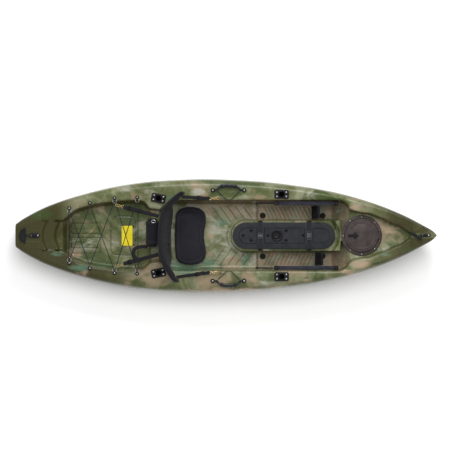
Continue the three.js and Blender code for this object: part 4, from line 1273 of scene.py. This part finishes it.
def inflated(obj, voxel, pressure, cap):
    """Padding blown up by a short cloth simulation, with no point moved more than cap."""
    remesh = obj.modifiers.new("remesh", "REMESH")
    remesh.mode = "VOXEL"
    remesh.voxel_size = voxel * MM
    applied(obj)
    rest = np.array([v.co for v in obj.data.vertices])
    cloth = obj.modifiers.new("cloth", "CLOTH")
    cloth.settings.quality = 5
    cloth.settings.mass = 0.3
    cloth.settings.tension_stiffness = 12
    cloth.settings.compression_stiffness = 12
    cloth.settings.bending_stiffness = 0.6
    cloth.settings.use_pressure = True
    cloth.settings.uniform_pressure_force = pressure
    cloth.settings.effector_weights.gravity = 0
    cloth.collision_settings.use_collision = False
    for number in range(1, 21):
        bpy.context.scene.frame_set(number)
    applied(obj)
    bpy.context.scene.frame_set(1)
    moved = np.array([v.co for v in obj.data.vertices]) - rest
    far = np.linalg.norm(moved, axis=1)
    moved *= np.minimum(1, cap * MM / np.maximum(far, 1e-9))[:, None]
    obj.data.vertices.foreach_set("co", (rest + moved).ravel())
    smoothing = obj.modifiers.new("smooth", "SMOOTH")
    smoothing.factor = 0.5
    smoothing.iterations = 4
    return applied(obj)


def points_of(obj):
    return np.array([v.co for v in obj.data.vertices]) / MM


def set_points(obj, points):
    obj.data.vertices.foreach_set("co", (points * MM).ravel())
    obj.data.update()


def bezier_outline(start, curves, count=14):
    points, at = [], Vector(start)
    for a, b, c in curves:
        a, b, c = Vector(a), Vector(b), Vector(c)
        for k in range(count):
            t = k / count
            points.append(at * (1 - t) ** 3 + a * 3 * t * (1 - t) ** 2 + b * 3 * t * t * (1 - t) + c * t ** 3)
        at = c
    return points


PAD_OUTLINE = bezier_outline((-372, -150), [
    ((-360, -205), (-310, -218), (-250, -218)), ((-190, -218), (-140, -190), (-138, -130)),
    ((-136, -80), (-156, -50), (-157, 0)), ((-156, 50), (-136, 80), (-138, 130)),
    ((-140, 190), (-190, 218), (-250, 218)), ((-310, 218), (-360, 205), (-372, 150)),
    ((-378, 60), (-378, -60), (-372, -150)),
])


def inset(outline, distance):
    """The outline moved inwards by distance, point by point."""
    count = len(outline)
    moved = []
    for i, p in enumerate(outline):
        along = (outline[(i + 2) % count] - outline[i - 2]).normalized()
        moved.append(p + Vector((-along.y, along.x)) * distance)
    return moved


def distance_to(outline, x, y):
    """How far each point is from the closed outline."""
    best = np.full(len(x), 1e9)
    for a, b in zip(outline, outline[1:] + outline[:1]):
        dx, dy = b.x - a.x, b.y - a.y
        t = np.clip(((x - a.x) * dx + (y - a.y) * dy) / max(dx * dx + dy * dy, 1e-9), 0, 1)
        best = np.minimum(best, np.hypot(x - a.x - t * dx, y - a.y - t * dy))
    return best


def seat_pad():
    outline = [tuple(p) for p in inset(PAD_OUTLINE, 2)]
    pad = inflated(prism("seat_cushion", outline, 137, 166), 5, 3.5, 6)
    points = points_of(pad)
    x, y, z = points.T
    edge = distance_to(PAD_OUTLINE, x, y)
    top = step(148, 162, z)
    seam = 38.0
    border = 5.5 * np.exp(-(((edge - seam * 0.52) / 14) ** 2))
    groove = -6.5 * np.exp(-(((edge - seam) / 4.5) ** 2))
    crown = 5.0 * step(seam, seam + 60, edge)
    ripple = 0.8 * np.sin(x / 17 + 0.6 * np.sin(y / 31)) * np.sin(y / 23) * step(seam, seam + 20, edge)
    points[:, 2] += top * (border + groove + crown + ripple)
    points[:, 2] = np.minimum(points[:, 2], 177)
    points[:, 2] = np.maximum(points[:, 2], 134.6)
    set_points(pad, points)
    finer = pad.modifiers.new("fine", "SUBSURF")
    finer.levels = 1
    applied(pad)
    placed(pad, "hull", SEAT, "seat_pad", sharp=80)
    heights = points_of(pad)
    for name, distance, radius in (("outer", 2, 3.0), ("inner", seam - 5, 1.6)):
        ring = inset(PAD_OUTLINE, distance)
        line = []
        for p in ring[::2]:
            near = heights[np.hypot(heights[:, 0] - p.x, heights[:, 1] - p.y) < 6]
            top_z = near[:, 2].max() if len(near) else 165
            if name == "outer":
                away = heights - (p.x, p.y, 161)
                line.append(heights[(away ** 2).sum(axis=1).argmin()])
            else:
                line.append((p.x, p.y, top_z - 0.2))
        line = np.array(line)
        line = np.vstack([line[-2:], line, line[:2]])
        line = [tuple(line[k:k + 5].mean(axis=0)) for k in range(len(line) - 4)]
        piping = cord(f"seat_piping_{name}", line, radius, 10, 3, True)
        placed(piping, "hull", BORDER if name == "outer" else THREAD)


def backrest():
    route = np.array([tuple(v) for v in curve_points([(a, b, 0) for a, b, _, _ in BACK_LINE], 6)])
    low = np.array([v.x for v in curve_points([(c, 0, 0) for _, _, c, _ in BACK_LINE], 6)])
    high = np.array([v.x for v in curve_points([(d, 0, 0) for _, _, _, d in BACK_LINE], 6)])
    tips = [route[0] + (17, 1, 0), route[-1] + (17, -1, 0)]
    route = np.vstack([tips[0], route, tips[1]])
    low = np.concatenate([low[:1], low, low[-1:]])
    high = np.concatenate([high[:1], high, high[-1:]])
    count = len(route)
    verts, faces = [], []
    ring = []
    for a in np.linspace(0, 2 * math.pi, 20, endpoint=False):
        ring.append((0.5 - 0.5 * math.cos(a), 0.5 + 0.5 * math.sin(a)))
    for i in range(count):
        before, after = route[max(i - 1, 0)], route[min(i + 1, count - 1)]
        along = Vector((after[0] - before[0], after[1] - before[1])).normalized()
        back = Vector((along.y, -along.x))
        end = min(i, count - 1 - i) / 6
        taper = 0.78 + 0.22 * min(end, 1)
        bottom, top = max(low[i], 158), min(high[i], 520)
        height = (top - bottom) * (0.86 + 0.14 * min(end, 1))
        centre = (top + bottom) / 2
        for depth, up in ring:
            squared = 0.5 + math.copysign(abs(up - 0.5) ** 0.75 * 0.5 ** 0.25, up - 0.5)
            z = centre + (squared - 0.5) * (height - 8)
            d = 18 + (depth - 0.5) * 31 * taper
            verts.append((route[i][0] + back.x * d - (z - 345) * RECLINE, route[i][1] + back.y * d, z))
    size = len(ring)
    for i in range(count - 1):
        faces += [(
            i * size + k, (i + 1) * size + k, (i + 1) * size + (k + 1) % size, i * size + (k + 1) % size
        ) for k in range(size)]
    faces += [tuple(range(size)), tuple(reversed(range((count - 1) * size, count * size)))]
    rest = inflated(new_object("backrest_pad", verts, faces), 5.5, 3.0, 6)
    points = points_of(rest)
    front_x = np.interp(points[:, 1], route[::-1, 1], route[::-1, 0]) - (points[:, 2] - 345) * RECLINE
    depth = front_x - points[:, 0]
    front = step(20, 6, depth)
    for seam_y in (-72, -104):
        points[:, 0] -= 3.2 * front * np.exp(-(((points[:, 1] - seam_y) / 4.5) ** 2))
    for seam_z in (468, 300):
        points[
            :, 0
        ] -= 2.6 * front * np.exp(-(((points[:, 2] - seam_z) / 5) ** 2)) * (np.abs(points[:, 1]) < 230)
    set_points(rest, points)
    finer = rest.modifiers.new("fine", "SUBSURF")
    finer.levels = 1
    applied(rest)
    placed(rest, "backrest", BACK, "seat_back", sharp=80)
    # Piping along the upper edge, and two rows of stitching down the front.
    heights = points_of(rest)
    crest = []
    for y in np.linspace(200, -218, 36):
        near = heights[np.abs(heights[:, 1] - y) < 6]
        highest = near[:, 2].max()
        crest.append((near[near[:, 2] > highest - 3, 0].mean(), y, highest + 0.6))
    crest = np.array(crest)
    for k in (0, 2):
        padded_values = np.concatenate([[crest[0, k]] * 2, crest[:, k], [crest[-1, k]] * 2])
        crest[:, k] = np.convolve(padded_values, np.ones(5) / 5, "valid")
    piping = cord("back_piping", [tuple(c) for c in crest], 2.4, 10, 2)
    placed(piping, "backrest", BORDER)
    for n, y in enumerate((-66, -110)):
        line = []
        for z in np.linspace(500, 190, 24):
            near = heights[(np.abs(heights[:, 1] - y) < 5) & (np.abs(heights[:, 2] - z) < 6)]
            if len(near):
                line.append((near[:, 0].max() - 0.3, y, z))
        stitch = cord(f"back_stitch_{n}", line, 1.0, 8, 2)
        placed(stitch, "backrest", THREAD)


def seat_bag():
    """The pouch behind the backrest: a sagging shell with a flap, a binding and a zip pull."""
    sections = [
        (-85, 0.72), (-80, 0.9), (-50, 1.0), (0, 1.03), (50, 1.0), (90, 1.0), (118, 0.92), (124, 0.74)
    ]
    verts, faces = [], []
    ring_count = 28
    for y, scale in sections:
        for k in range(ring_count):
            a = 2 * math.pi * k / ring_count
            c, s = math.cos(a), math.sin(a)
            x = -532 + 38 * scale * math.copysign(abs(c) ** 0.6, c)
            z = 348 - 3 * scale + 50 * scale * math.copysign(abs(s) ** 0.6, s)
            verts.append((x, y, z))
    for i in range(len(sections) - 1):
        faces += [(
            i * ring_count + k, (i + 1) * ring_count + k, (i + 1) * ring_count + (k + 1) % ring_count,
            i * ring_count + (k + 1) % ring_count
        )
                  for k in range(ring_count)]
    faces += [
        tuple(range(ring_count)),
        tuple(reversed(range((len(sections) - 1) * ring_count, len(sections) * ring_count)))
    ]
    bag = inflated(new_object("lumbar_bag", verts, faces), 5, 2.5, 5)
    points = points_of(bag)
    points[:, 2] += 1.6 * np.sin(points[:, 1] / 14) * step(360, 400, points[:, 2])
    set_points(bag, points)
    finer = bag.modifiers.new("fine", "SUBSURF")
    finer.levels = 1
    applied(bag)
    placed(bag, "backrest", BORDER, "seat_bag", sharp=80)
    flap_line = [
        (-490, 18, 392), (-510, 18, 402.5), (-535, 18, 403.5), (-560, 18, 401), (-573, 18, 388),
        (-575.5, 18, 360)
    ]
    flap = webbing("bag_flap", flap_line, 168, 3, 6, across=(0, 1, 0))
    placed(flap, "backrest", BORDER)
    for n, y in enumerate((-50, 86)):
        route = [
            (-486, y, 398), (-512, y, 405), (-540, y, 406.4), (-566, y, 404), (-577, y, 390),
            (-578.5, y, 340),
        ]
        band = webbing(f"bag_band_{n}", route, 25, 2.2, 6, across=(0, 1, 0))
        placed(band, "backrest", WEBBING)
    turn = np.linspace(0, 2 * math.pi, 17)[:-1]
    oval = [(-522 + 15 * math.cos(a), 100 + 10 * math.sin(a), 408.5) for a in turn]
    ring = cord("bag_buckle", oval, 2, 10, 3, True)
    placed(ring, "backrest", STEEL)


def ladder_lock(name, place, along, width, body, material=BLACK):
    """A three-bar slider on a strap: place is its middle and along is the strap's way."""
    half = width / 2 + 4
    holes = [[(a, -width / 2), (a + 6, -width / 2), (a + 6, width / 2), (a, width / 2)] for a in (-10, 4)]
    lock = plate(name, rounded(30, 2 * half, 4), -2.6, 2.6, 1.2, holes)
    x = Vector(along).normalized()
    y = Vector((0, 0, 1)).cross(x).normalized()
    turn = Matrix((x, y, x.cross(y))).transposed().to_4x4()
    lock.data.transform(Matrix.Translation(Vector(place) * MM) @ turn)
    return placed(lock, body, material)


def snap_hook(name, tail, nose, node):
    """A swivel snap hook from its strap eye at tail to its nose."""
    tail, nose = Vector(tail), Vector(nose)
    along = (nose - tail).normalized()
    across = Vector((0, 0, 1)).cross(along).normalized()
    length = (nose - tail).length

    def at(a, b):
        return tail + along * a * length + across * b

    loop = cord("eye", [
        at(0.02, 0), at(0.06, 8), at(0.14, 10.5), at(0.22, 8), at(0.26, 0), at(0.22, -8), at(0.14, -10.5),
        at(0.06, -8)
    ],
                1.8, 10, 4, True)
    swivel = cord("swivel", [at(0.24, 0), at(0.36, 0)], 4, 16, 1)
    collar = cord("collar", [at(0.28, 0), at(0.31, 0)], 5.4, 16, 1)
    hook = cord("hook", [
        at(0.34, 0), at(0.4, 5), at(0.56, 8), at(0.78, 8.4), at(0.94, 5), at(0.98, -2), at(0.9, -7.4),
        at(0.8, -7)
    ],
                lambda s: 2.7 - 0.8 * step(0.7, 1, s), 12, 5)
    gate = cord("gate", [at(0.38, -3.6), at(0.8, -6.6)], 1.9, 10, 1)
    nub = cord("nub", [at(0.5, -5.4), at(0.52, -9.4)], 1.6, 10, 1)
    placed(joined(name, loop, swivel, collar, hook, gate, nub), "hull", BRASS, node)


def seat_straps():
    for label, side in SIDES:
        eye = f"seat_eye_{label}"
        deck = base_of(eye)
        base = plate(
            f"eye_plate_{label}", [(a, side * 271 + b) for a, b in stadium(-54, -30, 7, 10)], deck,
            deck + 5, 1
        )
        placed(base, "hull", BLACK)
        bail = cord(f"eye_{label}", [
            (-52, side * 271, deck + 2), (-50.5, side * 271, deck + 10), (-42, side * 271, deck + 15),
            (-33.5, side * 271, deck + 10), (-32, side * 271, deck + 2)
        ],
                    2.2, 12, 6)
        placed(bail, "hull", STEEL, eye)
        lo, hi = (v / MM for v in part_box(f"front_hook_{label}"))
        tail, nose = (lo.x, side * 268, hi.z - 5), (hi.x + 17, side * 270, lo.z + 5)
        snap_hook(f"brass_front_{label}", tail, nose, f"front_hook_{label}")
        wing = Vector((-319, 279, 402)) if side > 0 else Vector((-357, -303, 402))
        end = Vector((tail[0] + 6, side * 268, tail[2]))
        middle = wing.lerp(end, 0.55)
        sag = Vector((0, 0, -3))
        line = [wing, wing.lerp(end, 0.25) + sag, middle + sag, wing.lerp(end, 0.8) + sag * 0.6, end]
        strap = webbing(f"strap_front_{label}", line, 24, 2.6)
        strap.data.materials.append(WEBBING)
        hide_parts(f"front_strap_{label}")
        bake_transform(strap)
        way = end - wing
        lock_at = wing.lerp(end, 0.62) + Vector((0, 0, 1))
        lock = ladder_lock(f"slider_front_{label}", lock_at, way, 24, "hull")
        tail_start = lock_at - way.normalized() * 4 + Vector((0, 0, 4))
        tail_line = [tail_start, tail_start + way.normalized() * 24 + Vector((0, side * -2, 5)),
                     tail_start + way.normalized() * 58 + Vector((0, side * -5, -1))]
        loose = webbing(f"strap_tail_{label}", tail_line, 24, 2.2)
        placed(loose, "hull", WEBBING)
        rear_tail, rear_nose = (-737, side * 205.5, 338), (-801, side * 224, 331)
        snap_hook(f"brass_rear_{label}", rear_tail, rear_nose, f"rear_hook_{label}")
        start = Vector((-484, side * 138, 408))
        finish = Vector((-741, side * 206, 339))
        line = [
            start, start.lerp(finish, 0.3) + Vector((0, 0, -4)),
            start.lerp(finish, 0.7) + Vector((0, 0, -4)), finish
        ]
        strap = webbing(f"strap_rear_{label}", line, 28, 2.8)
        strap.data.materials.append(WEBBING)
        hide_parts(f"rear_strap_{label}")
        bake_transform(strap)
        ladder_lock(
            f"slider_rear_{label}", start.lerp(finish, 0.82) + Vector((0, 0, 1)), finish - start, 28, "hull"
        )
        over = [start.lerp(finish, 0.8) + Vector((0, 0, 5)), start.lerp(finish, 0.66) + Vector((
            0, side * 3, 8
        )),
                start.lerp(finish, 0.5) + Vector((0, side * 9, 6))]
        placed(webbing(f"strap_rear_tail_{label}", over, 26, 2.2), "hull", WEBBING)
    fold = [
        (-638, -178, 372), (-662, -150, 376), (-668, -118, 378), (-650, -92, 378), (-610, -82, 375),
        (-566, -82, 371)
    ]
    placed(webbing("strap_fold", fold, 26, 2.2), "backrest", WEBBING)


seat_pad()
backrest()
seat_bag()
seat_straps()

# ---- Floor, light and camera ----


def studio():
    floor = new_object(
        "floor", [(-14000, -14000, 0), (14000, -14000, 0), (14000, 14000, 0), (-14000, 14000, 0)],
        [(0, 1, 2, 3)]
    )
    floor.location.z = -0.0005
    p = Paint("studio_floor")
    shade = p.mix(p.band(p.noise(0.8, 2), 0.3, 0.7), [0.93, 0.93, 0.93, 1], [0.96, 0.96, 0.96, 1])
    floor.data.materials.append(p.finish(shade, 0.7))
    world = bpy.data.worlds.new("studio")
    bpy.context.scene.world = world
    world.use_nodes = True
    background = world.node_tree.nodes["Background"]
    background.inputs["Color"].default_value = (1, 1, 1, 1)
    background.inputs["Strength"].default_value = 0.6
    bpy.context.scene.view_settings.view_transform = "Standard"
    for name, place, size, power in (
        ("softbox", (0.5, 3.4, 3.9), (3.4, 0.9), 110), ("sun", (0.2, 1.0, 4.0), None, 1.65)
    ):
        data = bpy.data.lights.new(name, "AREA" if size else "SUN")
        if size:
            data.shape = "RECTANGLE"
            data.size, data.size_y = size
        else:
            data.angle = math.radians(36)
        data.energy = power
        light = bpy.data.objects.new(name, data)
        light.location = place
        light.visible_glossy = bool(size)
        light.rotation_euler = (-Vector(place)).to_track_quat("-Z", "Y").to_euler()
        bpy.context.scene.collection.objects.link(light)


def camera():
    data = bpy.data.cameras.new("camera")
    cam = bpy.data.objects.new("camera", data)
    bpy.context.scene.collection.objects.link(cam)
    distance = 30.0
    width_seen = 3.283  # metres across the frame at the object
    data.sensor_width = 36
    data.lens = data.sensor_width * distance / width_seen
    elevation = math.radians(89)
    target = Vector((0.002, 0.07, 0.26))
    back = Vector((0, -math.cos(elevation), math.sin(elevation)))
    cam.location = target + back * distance
    cam.rotation_mode = "QUATERNION"
    cam.rotation_quaternion = (-back).to_track_quat("-Z", "Y")
    data.clip_end = 100
    bpy.context.scene.camera = cam


studio()
camera()
